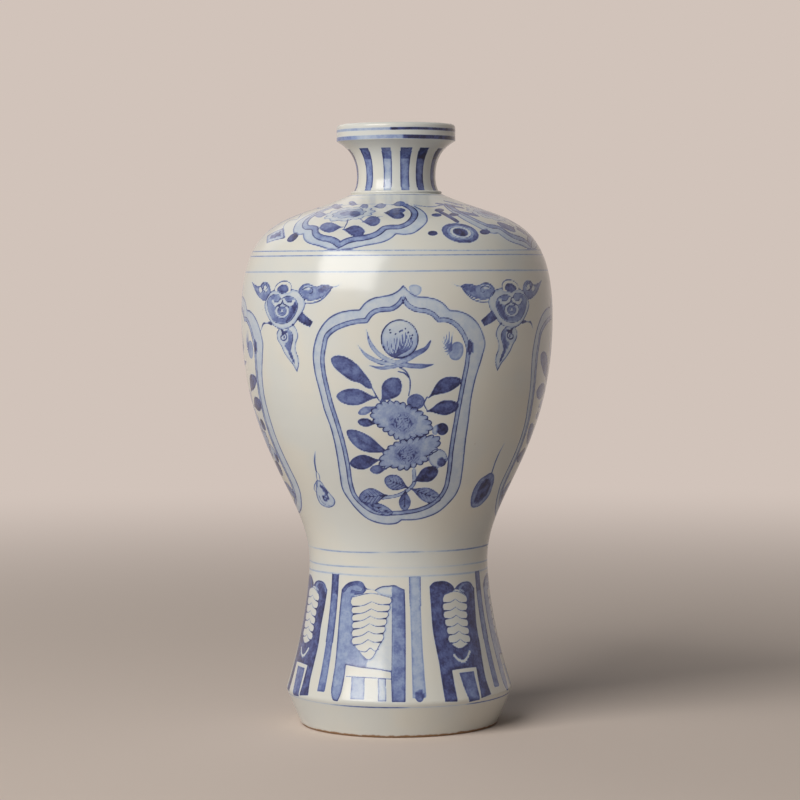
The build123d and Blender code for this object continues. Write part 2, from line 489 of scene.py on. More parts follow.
def paintMotif(canvas, angles, lengths, motif, angle, flip):
    turn = (angles - angle + math.pi) % (2 * math.pi) - math.pi
    nearby = np.flatnonzero(np.abs(turn) < motifReach)
    flat = unroll(motif, turn[nearby] * flip, lengths[nearby])
    reaches = [markReach + (mark[2].max() if mark[0] == "line" else 0) for mark in motif["marks"]]
    low = np.min([mark[1].min(axis=0) - reach for mark, reach in zip(motif["marks"], reaches)], axis=0)
    high = np.max([mark[1].max(axis=0) + reach for mark, reach in zip(motif["marks"], reaches)], axis=0)
    inside = ((flat > low) & (flat < high)).all(axis=1)
    flat, nearby = flat[inside], nearby[inside]
    order = np.argsort(flat[:, 1])
    flat, nearby = flat[order], nearby[order]
    for (kind, shape, extra, tones, layer), reach in zip(motif["marks"], reaches):
        low, high = shape.min(axis=0) - reach, shape.max(axis=0) + reach
        first, last = np.searchsorted(flat[:, 1], (low[1], high[1]))
        across = flat[first:last, 0]
        inside = np.flatnonzero((across > low[0]) & (across < high[0])) + first
        if not len(inside):
            continue
        points, index = flat[inside], nearby[inside]
        if kind == "line":
            distance, share = toSegments(points, shape)
            value = distance - (extra[:-1] + share * np.diff(extra))
            best = value.argmin(axis=1)
            rows = np.arange(len(points))
            tone = (tones[:-1] + share * np.diff(tones))[rows, best]
            thin = extra.max() * 2 < fineWidth
            layMark(canvas, layer, index, value[rows, best], tone, distance[rows, best] if thin else None)
            continue
        value = signedDistance(points, shape)
        if kind == "area":
            axis = extra[1] - extra[0]
            along = np.clip((points - extra[0]) @ axis / max(axis @ axis, tiny), 0, 1)
            layMark(canvas, layer, index, value, tones[0] + along * (tones[1] - tones[0]))
        else:
            for name in ("ink", "wash", "fine"):
                canvas[name][index] = np.maximum(canvas[name][index], np.minimum(-value, farAway))


# Front panel, repeated a quarter turn apart. Points are in the photo's frame
panelArt = {
    "centre": (401, 405), "angles": (0, 90, 180, 270),
    "outerFrame": [
        [(403.2, 285.8), (409.5, 292.4), (416.1, 296.3), (426, 297.4), (436, 299.6), (443, 303.5),
            (449.3, 310.3)],
        [(459.2, 311.5), (469.2, 315.7), (477.4, 323.4), (482.4, 333.1), (484.9, 343.8), (482.4, 355),
            (475, 379.5), (470.8, 399.4), (468.3, 421), (465.8, 437.5), (461.7, 474), (460, 484),
            (455.9, 493.9), (447.6, 503.9), (437.6, 512.2), (426, 517.1), (414, 519.6), (401.5, 519.8)],
        [(397.8, 522.5), (389.6, 524.1), (379.6, 523), (368, 518.8), (358, 510.5), (349.8, 500.6),
            (343.4, 490.6), (339.8, 472.4), (337.3, 455.8), (334, 439.2), (329.9, 424.3), (324.9, 411),
            (320.7, 394.4), (314.1, 366.2), (313.3, 354.6), (314.6, 344.7), (318.2, 333.1),
            (323.2, 324.8), (330.7, 317.3), (339.8, 312.8), (349.8, 310.7), (359.7, 309.9)],
        [(366.3, 302.4), (373, 298.6), (382.9, 296.6), (392.9, 294.1), (399.5, 290), (403.2, 285.8)],
    ],
    "innerFrame": [
        [(403.2, 297.9), (407.8, 304.9), (416.1, 309.5), (424.4, 310.7), (432.7, 314), (438.5, 319.8)],
        [(445.9, 319.8), (454.2, 323.4), (461.7, 331.4), (465.8, 339.7), (468.3, 348), (467.8, 357.9),
            (463.3, 382.8), (456.7, 417.6), (451.7, 447.5), (448.4, 475.7), (445.9, 487.3),
            (440.1, 497.2), (431, 504.7), (419.4, 509.7), (401.5, 512.8)],
        [(394.5, 513.2), (384.6, 513.8), (373, 511.3), (363, 504.7), (354.7, 495.6), (350.6, 484),
            (348.1, 467.4), (341.5, 437.5), (336.5, 421), (330.7, 402.7), (326.5, 386.1), (323.2, 369.6),
            (322.4, 357.9), (324, 346.3), (326.5, 336.4), (333.2, 329.8), (344.8, 324.4), (356.4, 321.5),
            (366.3, 320.6)],
        [(368.8, 316.5), (374.6, 311.5), (382.9, 309.5), (392.9, 308.2), (399.5, 303.2), (403.2, 297.9)],
    ],
    "pod": {
        "centre": (399.7, 338.9), "size": (18.4, 18.9), "root": (395, 357), "bendFrom": 396, "bend": 0.28,
    },
    "filaments": [(384.6, 346.6), (387, 340.8), (390.4, 339.7), (394, 338), (397.5, 336.5), (400.7, 335),
        (403, 333.8), (405.3, 332.8), (407.8, 333.6), (409.9, 335), (411.8, 337), (413.3, 339.7)],
    "anthers": [(389.8, 330), (395.5, 334), (390.4, 332.8), (399.5, 331.7), (405.3, 328.8),
        (401.8, 330.5), (408.2, 332.2), (412.2, 335.1), (411, 338.5)],
    # path from the root, width in mm, tones, taper
    "sepals": [
        (
            [(397, 363), (389.4, 360.4), (378.9, 354.2), (370.9, 344.3), (366.3, 329.4)], 2.2,
            (0.2, 0.34), (0.8, 0.1),
        ),
        (
            [(397, 364.5), (389.4, 364.2), (376.6, 361), (365.1, 354.2), (357.6, 344.9)], 2.1,
            (0.2, 0.34), (0.8, 0.1),
        ),
        ([(398, 366), (390.4, 367.3), (378.9, 367.8), (369.1, 365.5)], 1.5, (0.26, 0.5), (0.8, 0.15)),
        (
            [(398, 362.5), (406.5, 359.6), (417.5, 353), (426, 348.3), (430.5, 341)], 2.6, (0.28, 0.74),
            (0.7, 0.3),
        ),
        ([(400, 364.5), (414, 366), (425, 366), (433.5, 364.4)], 2.4, (0.28, 0.66), (0.8, 0.2)),
    ],
    "sepalLine": (0.5, 0.66, (0.7, 0.7)), "sepalLineAway": 0.4, "stem": (0.72, 0.84, (0.9, 0.8)),
    # base, tip, width in pixels, tone, bend, veins
    "leaves": [
        ((377.5, 397.5), (336.8, 396.6), 16.5, 0.65, 0, 0),
        ((380.5, 402.5), (399, 378.8), 19, 0.72, 0, 0),
        ((428.5, 398), (461, 380), 14, 0.8, -0.08, 0),
        ((426.5, 411.5), (458.6, 405), 14, 0.8, 0, 0),
        ((390.5, 452.5), (347.3, 431), 16, 0.66, -0.06, 1),
        ((380.5, 459.9), (350.2, 463.8), 14, 0.8, 0, 0),
        ((376.5, 423.4), (358, 421.8), 8, 0.8, 0, 0),
        ((375.5, 406.5), (358.5, 413.5), 7, 0.5, 0, 0),
        ((386.4, 469.1), (370.3, 469.9), 8.5, 0.68, 0, 0),
        ((408.6, 488), (385, 478.8), 15, 0.5, 0, 6),
        ((413.4, 482), (437.5, 469.2), 14, 0.86, 0, 0),
        ((410.1, 488.5), (440.5, 500), 14, 0.5, 0, 6),
        ((405.3, 489.6), (404.5, 510.4), 11, 0.6, 0, 3),
        ((387.5, 495.2), (359.5, 497.4), 16, 0.52, 0, 6),
        ((361, 501.5), (392.4, 513.2), 9, 0.5, 0, 4),
    ],
    "curvedLeaf": [(331.2, 359.2), (336.4, 355.8), (346.7, 357.5), (355.9, 363.8), (364, 373),
        (370.9, 383.3), (372, 387.9), (367.4, 387.9), (360.5, 383.3), (350.2, 379.9), (342.1, 374.1),
        (333, 365)],
    "blossoms": [
        {
            "edge": [(371.3, 412.7), (375.5, 407.7), (381.3, 402.7), (389.6, 401.9), (399.5, 402.7),
                (407.8, 405.2), (416.1, 408.5), (423.5, 414.3), (429.4, 421), (431.8, 427.6),
                (427.7, 432.6), (421.1, 435.9), (412.8, 436.7), (406.1, 440), (399.5, 440),
                (392.9, 435.9), (386.2, 431.7), (381.3, 427.6), (376.3, 424.3), (373, 419.3)],
            "heart": (402.5, 422.8), "size": (15, 11.5), "scallops": 23,
        },
        {
            "edge": [(387, 449), (391.2, 445.8), (399.5, 441.7), (407.8, 440), (416.1, 438.4),
                (424.4, 436.7), (432.7, 435.9), (439.3, 438.4), (438.5, 445.8), (434.3, 452.5),
                (427.7, 455.8), (426, 460.8), (419.4, 464.1), (412.8, 466.6), (406.1, 469.1),
                (399.5, 469.1), (391.2, 466.6), (384.6, 468.2), (379.6, 462.4), (381.3, 457.4)],
            "heart": (407.3, 454.3), "size": (14, 11.5), "scallops": 21,
        },
    ],
    "stems": [
        [(399, 367.3), (405.3, 370.7), (409.9, 379.9), (409.9, 389), (408.6, 396)],
        [(372, 388), (377, 397), (381, 403)],
        [(427, 397), (424, 404), (427, 410)],
        [(398, 371.5), (404, 373), (408, 377)],
    ],
    "thickStem": [(382, 498), (400, 494.5), (407, 490.7), (413, 485), (414, 469.6)],
    "frameMarks": [
        ("outerFrame", "fill", 0.2),
        ("innerFrame", "bare"),
        ("innerFrame", "wash", 1.9, (0.33, 0.38)),
        ("innerFrame", "sides", 0.95, 0.68, (0.88, 0.82)),
        ("outerFrame", "line", 0.75, (0.72, 0.8)),
    ],
    "calyx": ((398.5, 363.5), 4.4, 3.6), "calyxTone": 0.34, "bud": ((442.2, 429), 6.2, 6.2),
    "budTip": [(433.5, 427), (437, 424.5), (438, 430), (436.5, 435), (432.5, 433.5)],
    "fruit": ((437.9, 458.2), 9, 9), "fruitHeart": ((441.3, 462), 4.8, 4.6),
    "scrollBud": ((415.9, 401.7), 9, 7.7), "scroll": (415.9, 401.7), "featherRoot": (452, 350),
    "feather": (0.7, (0.62, 0.5), (1.1, 0.5)), "featherBend": (-1, 1),
    "featherTips": [(443.4, 336), (442.2, 341), (442, 346.3), (443, 351), (445.9, 355.6), (449.3, 331.4),
        (453, 331.8), (446, 333)],
    "featherBlob": [(450, 347), (456, 341.6), (462, 343.6), (463.4, 352), (458.6, 360), (451, 359)],
    "knot": ((469.9, 347.1), 2.6, 7.4),
    "smear": [(409, 286), (416, 284.5), (422, 288), (420, 294), (414, 296), (410, 291)],
    "smallMarks": [
        ("curvedLeaf", "fill", (0.66, 0.74)),
        ("curvedLeaf", "ring", 0.5, 0.85),
        ("thickStem", "wash", 1.5, 0.28),
        ("thickStem", "sides", 0.75, 0.45, 0.85),
        ("bud", "fill", 0.86),
        ("budTip", "fill", 0.3),
        ("fruit", "fill", 0.26),
        ("fruit", "ring", 0.5, 0.9),
        ("fruitHeart", "fill", 0.88),
        ("scrollBud", "fill", 0.6),
        ("scroll", "curl", 8.4, 20, 2.2, 0.45, 0.88),
        ("featherBlob", "fill", 0.4),
        ("knot", "fill", 0.85),
        ("smear", "fill", 0.2),
    ],
}


# Brushes are a width in mm, a tone and a taper, and a pair of tones runs from end to end
podBrushes = {
    "tones": (0.12, 0.42), "edge": (0.65, 1.0), "underside": (1.0, 0.96, (0.3, 0.3)),
    "undersideAway": 0.4, "undersideAngles": (195, 345),
    "filament": (0.66, (0.92, 0.66), (1.2, 0.78)), "anther": (0.5, 1.0),
    "rootGap": 1.6, "rootDrop": 0.8,
}


def drawPod(motif):
    pod, look = panelArt["pod"], podBrushes
    (x, y), (wide, high) = pod["centre"], pod["size"]
    oval = (pod["centre"], wide, high)
    area(motif, oval, look["tones"], axis=place(motif, [(x, y - high), (x, y + high)]))
    ringLine(motif, oval, *look["edge"])
    underside = arcPixels(pod["centre"], wide + look["undersideAway"], *look["undersideAngles"])
    stroke(motif, underside, *look["underside"])
    for i, tip in enumerate(panelArt["filaments"]):  # they spring from four places side by side
        aside = i % 4 - 1
        root = (pod["root"][0] + aside * look["rootGap"], pod["root"][1] - abs(aside) * look["rootDrop"])
        bend = (tip[0] - pod["bendFrom"]) * pod["bend"]
        knee = ((root[0] + tip[0]) / 2 + bend, (root[1] + tip[1]) / 2)
        stroke(motif, [root, knee, tip], *look["filament"])
    for spot in panelArt["anthers"]:
        dot(motif, spot, *look["anther"])


blossomArt = {
    "scallopDepth": 2.8, "notchLength": 1.7, "petalTone": 0.37, "heartShare": 0.96, "heartTone": 0.46,
    "edge": (0.6, 1.0), "notch": (0.5, (0.95, 0.6), (1.1, 0.4)),
    "flecks": 40, "fleck": (0.38, (0.85, 0.66), (1, 0.6)),
    "fleckFrom": (0.26, 0.2), "fleckTo": (0.8, 0.26),  # shares of the heart: the least, and what is added
    "stamens": 9, "stamen": (0.24, 0.92), "stamenTurn": 2.4, "stamenSpread": (0.9, 0.8),
}


def drawBlossom(motif, bloom):
    look = blossomArt
    edge = place(motif, scalloped(bloom["edge"], bloom["scallops"], look["scallopDepth"]))
    clear(motif, edge)
    area(motif, edge, look["petalTone"])
    stroke(motif, np.vstack([edge, edge[:1]]), *look["edge"])
    middle = edge.mean(axis=0)
    for notch in edge[::scallopPoints]:  # a short line runs inwards from each notch between two petals
        inwards = (middle - notch) / np.linalg.norm(middle - notch)
        line = smoothLine(np.array([notch, notch + inwards * look["notchLength"]]))
        stroke(motif, line, *look["notch"])
    (x, y), (wide, high) = bloom["heart"], bloom["size"]
    share = look["heartShare"]
    area(motif, (bloom["heart"], wide * share, high * share), look["heartTone"])
    (start, startMore), (end, endMore) = look["fleckFrom"], look["fleckTo"]
    for i in range(look["flecks"]):  # flecks of uneven length stand for the fine hatching
        a = 2 * math.pi * i / look["flecks"]
        reaches = (start + startMore * (i * 3 % 4) / 3, end + endMore * (i * 7 % 5) / 4)
        ends = [(x + wide * reach * math.cos(a), y - high * reach * math.sin(a)) for reach in reaches]
        stroke(motif, ends, *look["fleck"])
    across, up = look["stamenSpread"]
    for i in range(look["stamens"]):
        a, away = look["stamenTurn"] * i, i**0.5
        spot = (x + across * away * math.cos(a), y - up * away * math.sin(a))
        dot(motif, spot, *look["stamen"])


def drawPanel():
    art = panelArt
    motif = newMotif(art["centre"])
    drawMarks(motif, art, art["frameMarks"])
    for path, width, tone, taper in art["sepals"]:
        washLine(motif, path, width, tone, taper)
        for side in (-1, 1):
            away = side * width * art["sepalLineAway"]
            stroke(motif, path, *art["sepalLine"], offset=away, meet=True)
    area(motif, art["calyx"], art["calyxTone"])
    drawPod(motif)
    for base, tip, width, tone, bend, veins in art["leaves"]:
        leaf(motif, base, tip, width, tone, bend, veins)
    for bloom in art["blossoms"]:
        drawBlossom(motif, bloom)
    for stem in art["stems"]:
        stroke(motif, stem, *art["stem"])
    drawMarks(motif, art, art["smallMarks"])
    x, y = art["featherRoot"]
    right, down = art["featherBend"]
    for tip in art["featherTips"]:
        knee = ((x + tip[0]) / 2 + right, (y + tip[1]) / 2 + down)
        stroke(motif, [(x, y), knee, tip], *art["feather"])
    return motif


# Cloud on each side of the panel, drawn on the left and mirrored on the right
cloudArt = {
    "centre": (283, 315),
    "heart": [(282, 293.6), (286.4, 290.4), (292.9, 289.8), (299.4, 292.5), (303.7, 297.9),
        (304.8, 303.4), (303.7, 308.8), (300.5, 314.2), (297.2, 319.6), (292.9, 325), (286.4, 328.3),
        (278.8, 328.3), (273.4, 325), (269, 318.5), (265.8, 311), (264.7, 305.5), (266.3, 300.1),
        (267.9, 295.8), (273.4, 290.9), (278.8, 290.9)],
    "innerHeart": [(281.5, 299), (283.1, 297.9), (286.4, 296.3), (291.8, 296.9), (296.1, 300.1),
        (297.8, 305.5), (296.1, 312), (291.8, 319.1), (286.4, 322.9), (278.8, 323.4), (273.4, 320.7),
        (269.6, 314.2), (267.4, 306.6), (267.4, 301.2), (269, 297.9), (273.4, 294.7), (278.8, 295.2)],
    "bump": [(274.4, 289.5), (276, 286), (279.5, 282.6), (284.2, 281.1), (289.1, 282.4), (291.3, 286),
        (290.9, 290.8)],
    "bumpFill": [(277.2, 289.8), (279.9, 286.4), (283.6, 284.8), (286.9, 286), (288.3, 289.6),
        (284.2, 292.8), (279.5, 292)],
    "flame": [
        [(298.3, 291.8), (300, 288), (304, 284.6), (308.1, 283.9), (313.5, 286), (316.7, 287.1),
            (322.2, 284.9), (327.6, 285), (332.5, 287.2)],
        [(326.5, 293.6), (320, 297.9), (312.4, 300.1), (305.9, 299.6), (301, 296), (298.3, 291.8)],
    ],
    "flameDark": [
        [(317, 290.5), (321, 287.2), (326.5, 286.2), (332, 287.4)],
        [(326, 291.5), (321.5, 292.6), (317, 290.5)],
    ],
    "flameEdge": [(304.5, 302.8), (312.4, 303), (320, 300.6), (326.5, 295.2), (331, 289.8)],
    "flameTail": [(331, 287.4), (336, 286.6), (341, 283.8)],
    "flameCurl": [(301.9, 290), (305.4, 287.8), (310, 287.4), (313, 289.5), (312.2, 292.6), (309.2, 293),
        (308.2, 291.2)],
    "leaf": [
        [(252, 282.2), (254, 287.5), (256.5, 293.5), (260, 297.8), (264.7, 300.4), (267.9, 297.2),
            (270.4, 291.6), (269.4, 285.4), (266, 282), (262.4, 283.2), (260.4, 286), (256, 285.4),
            (252, 282.2)],
    ],
    "leafCurl": (264.6, 287.4),
    "ribbon": [
        [(302, 312.4), (306.5, 316.6), (312.4, 321.6)],
        [(309.7, 326.6)],
        [(303, 323.6), (297, 319.4)],
        [(302, 312.4)],
    ],
    "leftRibbon": [(271.4, 324), (267, 322.6), (263.2, 324), (261, 330.8)],
    "tail": [
        [(279.4, 328.8), (277, 333.7), (277.6, 339.1), (281, 345.1), (284.2, 352.1), (288.5, 358.7),
            (292.9, 364.1), (297, 371.4)],
        [(298.6, 364.1), (298.2, 357.6), (295.8, 351.1), (295.6, 343.5), (297.8, 335.9), (296, 329),
            (292.4, 324)],
    ],
    "tailFill": [
        [(287, 328.9), (292, 333), (292.6, 339), (291, 345), (290.8, 350.5), (293.2, 357), (295.4, 365)],
        [(291, 358.4), (287.6, 351.6), (284.8, 345.8), (282.8, 340.2), (284, 333), (287, 328.9)],
    ],
    "tailEdge": [(288.1, 328.9), (292, 333.5), (292.8, 338.9), (291.2, 345.7), (290.6, 351.1),
        (291.8, 356), (294.4, 362.4)],
    "tailCurl": (283.2, 337.3),
    "flameLight": [(303, 288), (308, 285.4), (313.4, 287.4), (310, 289), (305.5, 290.6)],
    "leafRib": [(252, 282.2), (256, 290), (262, 297)], "leftLoop": ((260.6, 289.6), 2.0, 3.4),
    "rightLoop": ((265.6, 288.6), 2.3, 4.0), "tailLoop": ((283.2, 337.3), 5.4, 6.4),
    "tailRoot": [(281, 329.5), (283.5, 332.5), (287.5, 331.5)],
    "heartShade": [(295, 301.5), (296.6, 306), (295, 312), (291, 318.4), (286, 322), (289, 314),
        (291.4, 307)],
    "leftScroll": [(281.5, 299), (280, 302.4), (277.7, 304), (273.8, 303.4), (272.8, 301.2)],
    "rightScroll": [(283.5, 299.5), (285.5, 302.8), (288.5, 304.2), (292.5, 303.4), (293.4, 301)],
    "eyeRim": ((282, 311), 7.2, 7.2), "eye": ((282, 311), 4.4, 4.4), "eyeGlint": ((282, 311), 1.7, 1.7),
    "bumpBare": [(274.4, 289.5), (276, 286), (279.5, 282.6), (284.2, 281.1), (289.1, 282.4), (291.3, 286),
        (290.9, 290.8), (285, 293), (279, 292)],
    "marks": [
        ("flame", "fill", (0.5, 0.45)),
        ("flameLight", "fill", 0.16),
        ("flameDark", "fill", 0.7),
        ("flame", "line", 0.55, 0.85),
        ("flameEdge", "line", 0.7, 0.78, (0.8, 0.7)),
        ("flameTail", "line", 0.6, (0.6, 0.25), (1.2, 0.3)),
        ("flameCurl", "line", 0.72, 0.88, (0.8, 0.8)),
        ("leaf", "fill", 0.5),
        ("leaf", "line", 0.5, 0.8),
        ("leafCurl", "curl", 4.2, 60, 1.4, 0.5, 0.85),
        ("leafRib", "line", 0.4, 0.7),
        ("leftLoop", "fill", 0.14),
        ("leftLoop", "ring", 0.6, 0.84),
        ("rightLoop", "fill", 0.14),
        ("rightLoop", "ring", 0.6, 0.84),
        ("ribbon", "fill", 0.74),
        ("ribbon", "line", 0.6, 0.9),
        ("leftRibbon", "line", 1.1, (0.85, 0.7), (1.2, 0.3)),
        ("tail", "fill", 0.16),
        ("tailFill", "fill", (0.48, 0.85)),
        ("tailLoop", "fill", 0.22),
        ("tailEdge", "line", 0.68, 0.86, (0.8, 0.8)),
        ("tail", "line", 0.6, (0.82, 0.75)),
        ("tailCurl", "curl", 4.3, 105, -1.5, 0.85, 0.85),
        ("tailRoot", "line", 1.4, 0.85, (0.6, 0.6)),
        ("heart", "fill", 0.17),
        ("innerHeart", "fill", 0.53),
        ("heartShade", "fill", 0.8),
        ("heart", "ring", 0.6, 0.82),
        ("innerHeart", "ring", 0.55, 0.88),
        ("leftScroll", "wash", 1.8, 0.16),
        ("leftScroll", "sides", 1.1, 0.62, 0.86),
        ("rightScroll", "wash", 1.8, 0.16),
        ("rightScroll", "sides", 1.1, 0.62, 0.86),
        ("eyeRim", "fill", 0.2),
        ("eyeRim", "ring", 0.58, 0.82),
        ("eye", "fill", 0.62),
        ("eye", "ring", 0.58, 0.82),
        ("eyeGlint", "fill", 0.2),
        ("eyeGlint", "ring", 0.58, 0.82),
        ("bumpBare", "bare"),
        ("bumpFill", "fill", 0.66),
        ("bumpFill", "ring", 0.6, 0.86),
        ("bump", "line", 0.6, 0.8, (0.7, 0.7)),
    ],
}


# Pearl drops low on the belly, one on each side of the panel
pearlArt = {
    "left": {
        "centre": (325, 485), "fill": 0.24, "tail": [(315.3, 450.5), (314.7, 462.5), (316, 470.5)],
        "drop": [(317.6, 480.5), (316.2, 486.5), (316.5, 492.6), (317.9, 498.9), (320.8, 504.1),
            (325.1, 506.5), (329.9, 507), (333.7, 505), (334.9, 501.7), (333.7, 498.4), (330.8, 495),
            (327, 490.2), (324.1, 486.4), (320.8, 481.6)],
        "lines": [
            [(316, 470.5), (316.5, 476.4), (317.4, 481.4)],
            [(316.4, 470.8), (318.9, 474.5), (320, 480.5)],
            [(316.5, 481.1), (314.3, 486), (314.8, 490.6), (317, 492.6)],
            [(319, 495.5), (321.7, 501.3), (325.1, 504.2), (329.5, 505.3)],
            [(317.6, 481.4), (317.4, 485.4), (318, 488.8)],
        ],
        "shade": [(320, 484.5), (322.6, 486), (326.4, 490), (328.6, 493.6), (325.8, 493.8), (323, 490.6)],
        "eye": (325.9, 497.6), "eyeSizes": ((3.3, 0.84), (1.7, 0.3), (0.8, 0.6)),
    },
    "right": {
        "centre": (482, 485), "fill": 0.5,
        "tail": [(504.7, 442.9), (499.9, 451.5), (496.1, 460.1), (493.7, 466.8), (491.8, 473)],
        "drop": [(492.3, 473.5), (493.7, 481.1), (491.8, 487.8), (489.4, 494.5), (485.6, 499.8),
            (480.8, 504.6), (476, 507), (472.2, 507), (471, 500.8), (472.7, 492.6), (476, 485.5),
            (480.8, 479.2), (486.5, 475.4), (489.9, 473.3)],
        "lines": [[(474.5, 493), (478, 486), (483, 480.5), (489, 477)]],
        "shade": [(486, 479), (490.6, 481.5), (490, 487.5), (487, 493.5), (483, 498.5), (478, 503),
            (474.6, 502), (476, 495), (479, 488), (482.5, 481.8)],
        "eye": (481.5, 497), "eyeSizes": ((2.6, 0.95), (1.0, 0.6)),
    },
}


pearlBrushes = {
    "tail": (1.0, (0.4, 0.72), (0.25, 0.9)), "edge": (0.55, 0.76), "line": (0.5, 0.72, (0.8, 0.6)),
    "shadeTone": 0.84,
}


def drawPearl(side):
    art, look = pearlArt[side], pearlBrushes
    motif = newMotif(art["centre"])
    stroke(motif, art["tail"], *look["tail"])
    area(motif, art["drop"], art["fill"])
    ringLine(motif, art["drop"], *look["edge"])
    for line in art["lines"]:
        stroke(motif, line, *look["line"])
    area(motif, art["shade"], look["shadeTone"])
    for radius, tone in art["eyeSizes"]:
        area(motif, (art["eye"], radius, radius), tone)
    return motif


# Lobed collar on the shoulder: the right half of one lobe, mirrored a little narrower, and repeated
collarArt = {
    "tip": (338.8, 247.5), "leftShare": 0.88,
    "outerHalf": [
        [(339, 250), (352, 248.3), (365.5, 245.3), (376, 243.5), (384.8, 241.2), (391, 238),
            (395.8, 233.8)],
        [(404.5, 234.4), (412.7, 233.2), (417.5, 230.6), (421.2, 227.7), (426.7, 221.7), (426.7, 216.8),
            (422.4, 210.8), (414, 206)],
    ],
    "linkLine": [(414, 205.4), (424, 206.5), (433.5, 207), (440, 204.8), (447, 203)],
    "bandHalf": [
        [(339.5, 245), (345.5, 241.6), (353.2, 239.2), (363.7, 237.7), (372.5, 235.6), (378, 233),
            (384.5, 227.9)],
        [(390, 227), (400, 226.6), (406.8, 224), (412, 219.8), (414.5, 215.2), (413, 210), (408.5, 206.8),
            (403, 204.3)],
    ],
    "outerTone": 0.2, "outerLine": (0.76, (0.66, 0.76)), "closingLine": (0.66, 0.55),
    "bandWash": (3.0, (0.38, 0.52)), "bandEdges": (1.5, 0.8, (0.82, 0.92)), "link": (0.7, 0.56),
    # base, tip, width in pixels, tone
    "leaves": [
        ((343, 227), (319.8, 227.6), 10, 0.62),
        ((342.5, 229.5), (364.5, 232), 11, 0.72),
        ((362, 222), (380, 220.4), 10, 0.68),
        ((385, 213.4), (404, 215.8), 8, 0.76),
        ((384, 212.6), (405, 210), 6, 0.76),
        ((327, 214), (314.5, 214.8), 6, 0.55),
        ((343, 207.6), (332, 206), 5, 0.6),
        ((357.5, 204.6), (349, 202.6), 4.5, 0.6),
        ((358.5, 208), (368, 205.8), 5, 0.6),
        ((373.5, 207), (385.5, 205.2), 5, 0.62),
        ((392, 205), (404.5, 203), 5, 0.6),
    ],
    "stalks": [
        [(344, 228.4), (347, 223), (348, 219)],
        [(364, 222), (361, 219.5), (358, 218)],
        [(382.5, 216.4), (374, 217.5), (366, 220)],
    ],
    "flower": (348.5, 213.2), "flowerWash": ((355, 213.8), 5.5, 3.0),
    "flowerWashTone": 0.72, "stalk": (0.64, 0.78, (0.9, 0.8)),
    "petalDepth": 0.16, "flowerFlat": 0.72, "petalLine": 0.54,
    # radius in mm, petals, tone of the edge, tone
    "flowerRings": [(13.5, 11, 0.8, 0.16), (9.0, 9, 0.84, 0.34), (4.6, 5, 0.88, 0.6)],
}


def drawCollar():
    art = collarArt
    motif = newMotif(art["tip"])
    mirror = np.array((-art["leftShare"], 1))

    def bothHalves(runs):
        half = trace(motif, runs)
        half[:, 0] = np.maximum(half[:, 0], 0)
        return np.vstack([half[::-1] * mirror, half[1:]])

    outer, band = bothHalves(art["outerHalf"]), bothHalves(art["bandHalf"])
    area(motif, outer, art["outerTone"])
    clear(motif, band)
    washLine(motif, band, *art["bandWash"])
    sideLines(motif, band, *art["bandEdges"])
    stroke(motif, outer, *art["outerLine"])
    stroke(motif, smoothLine(outer[[-1, 0]]), *art["closingLine"])
    link = trace(motif, art["linkLine"])
    left = np.column_stack([-np.linspace(art["leftShare"], 1, len(link)), np.ones(len(link))])
    for line in (link, link * left):
        stroke(motif, line, *art["link"])
    for base, tip, width, tone in art["leaves"]:
        leaf(motif, base, tip, width, tone)
    for stalk in art["stalks"]:
        stroke(motif, stalk, *art["stalk"])
    centre = place(motif, [art["flower"]])[0]
    turns = np.linspace(0, 2 * math.pi, 91)
    for size, petals, edge, tone in art["flowerRings"]:
        away = size * (1 - art["petalDepth"] * (1 - np.abs(np.sin(turns * petals / 2))))
        across, up = away * np.cos(turns), art["flowerFlat"] * away * np.sin(turns)
        petalEdge = centre + np.column_stack([across, up])
        area(motif, petalEdge[:-1], tone)
        stroke(motif, petalEdge, art["petalLine"], edge)
    area(motif, art["flowerWash"], art["flowerWashTone"])
    return motif


# Jewel and lozenge, which stand by turns between the collar's lobes
jewelArt = {
    "centre": (460.6, 232), "halfWidth": 9.6, "halfHeight": 6.7, "edgeWidth": 0.5,
    "dotTone": 0.84, "blobTone": 0.75, "ribbonBrush": (3.4, (0.85, 0.7), (0.9, 0.3)),
    # share of the size, tone, tone of the edge
    "rings": ((1.0, 0.66, 0.85), (0.76, 0.42, 0.84), (0.6, 0.14, 0.8), (0.4, 0.88, 0.95)),
    "dots": [((432.7, 233.2), 5.2, 2.5), ((484.8, 232), 5.2, 2.5)],
    "ribbon": [(456.4, 221), (445.5, 214.5), (435, 209.5)],
    "blobs": [((436.6, 215), 5.2, 1.7), ((453.9, 214.5), 4.8, 1.6), ((439.3, 210.2), 4.8, 1.8)],
}


def drawJewel():
    art = jewelArt
    motif = newMotif(art["centre"])
    turns = np.linspace(0, 2 * math.pi, 41)
    oval = np.column_stack([art["halfWidth"] * np.cos(turns), art["halfHeight"] * np.sin(turns)])
    for share, tone, edge in art["rings"]:
        area(motif, oval[:-1] * share, tone)
        stroke(motif, oval * share, art["edgeWidth"], edge)
    for spot in art["dots"]:
        area(motif, spot, art["dotTone"])
    stroke(motif, art["ribbon"], *art["ribbonBrush"])
    for blob in art["blobs"]:
        area(motif, blob, art["blobTone"])
    return motif


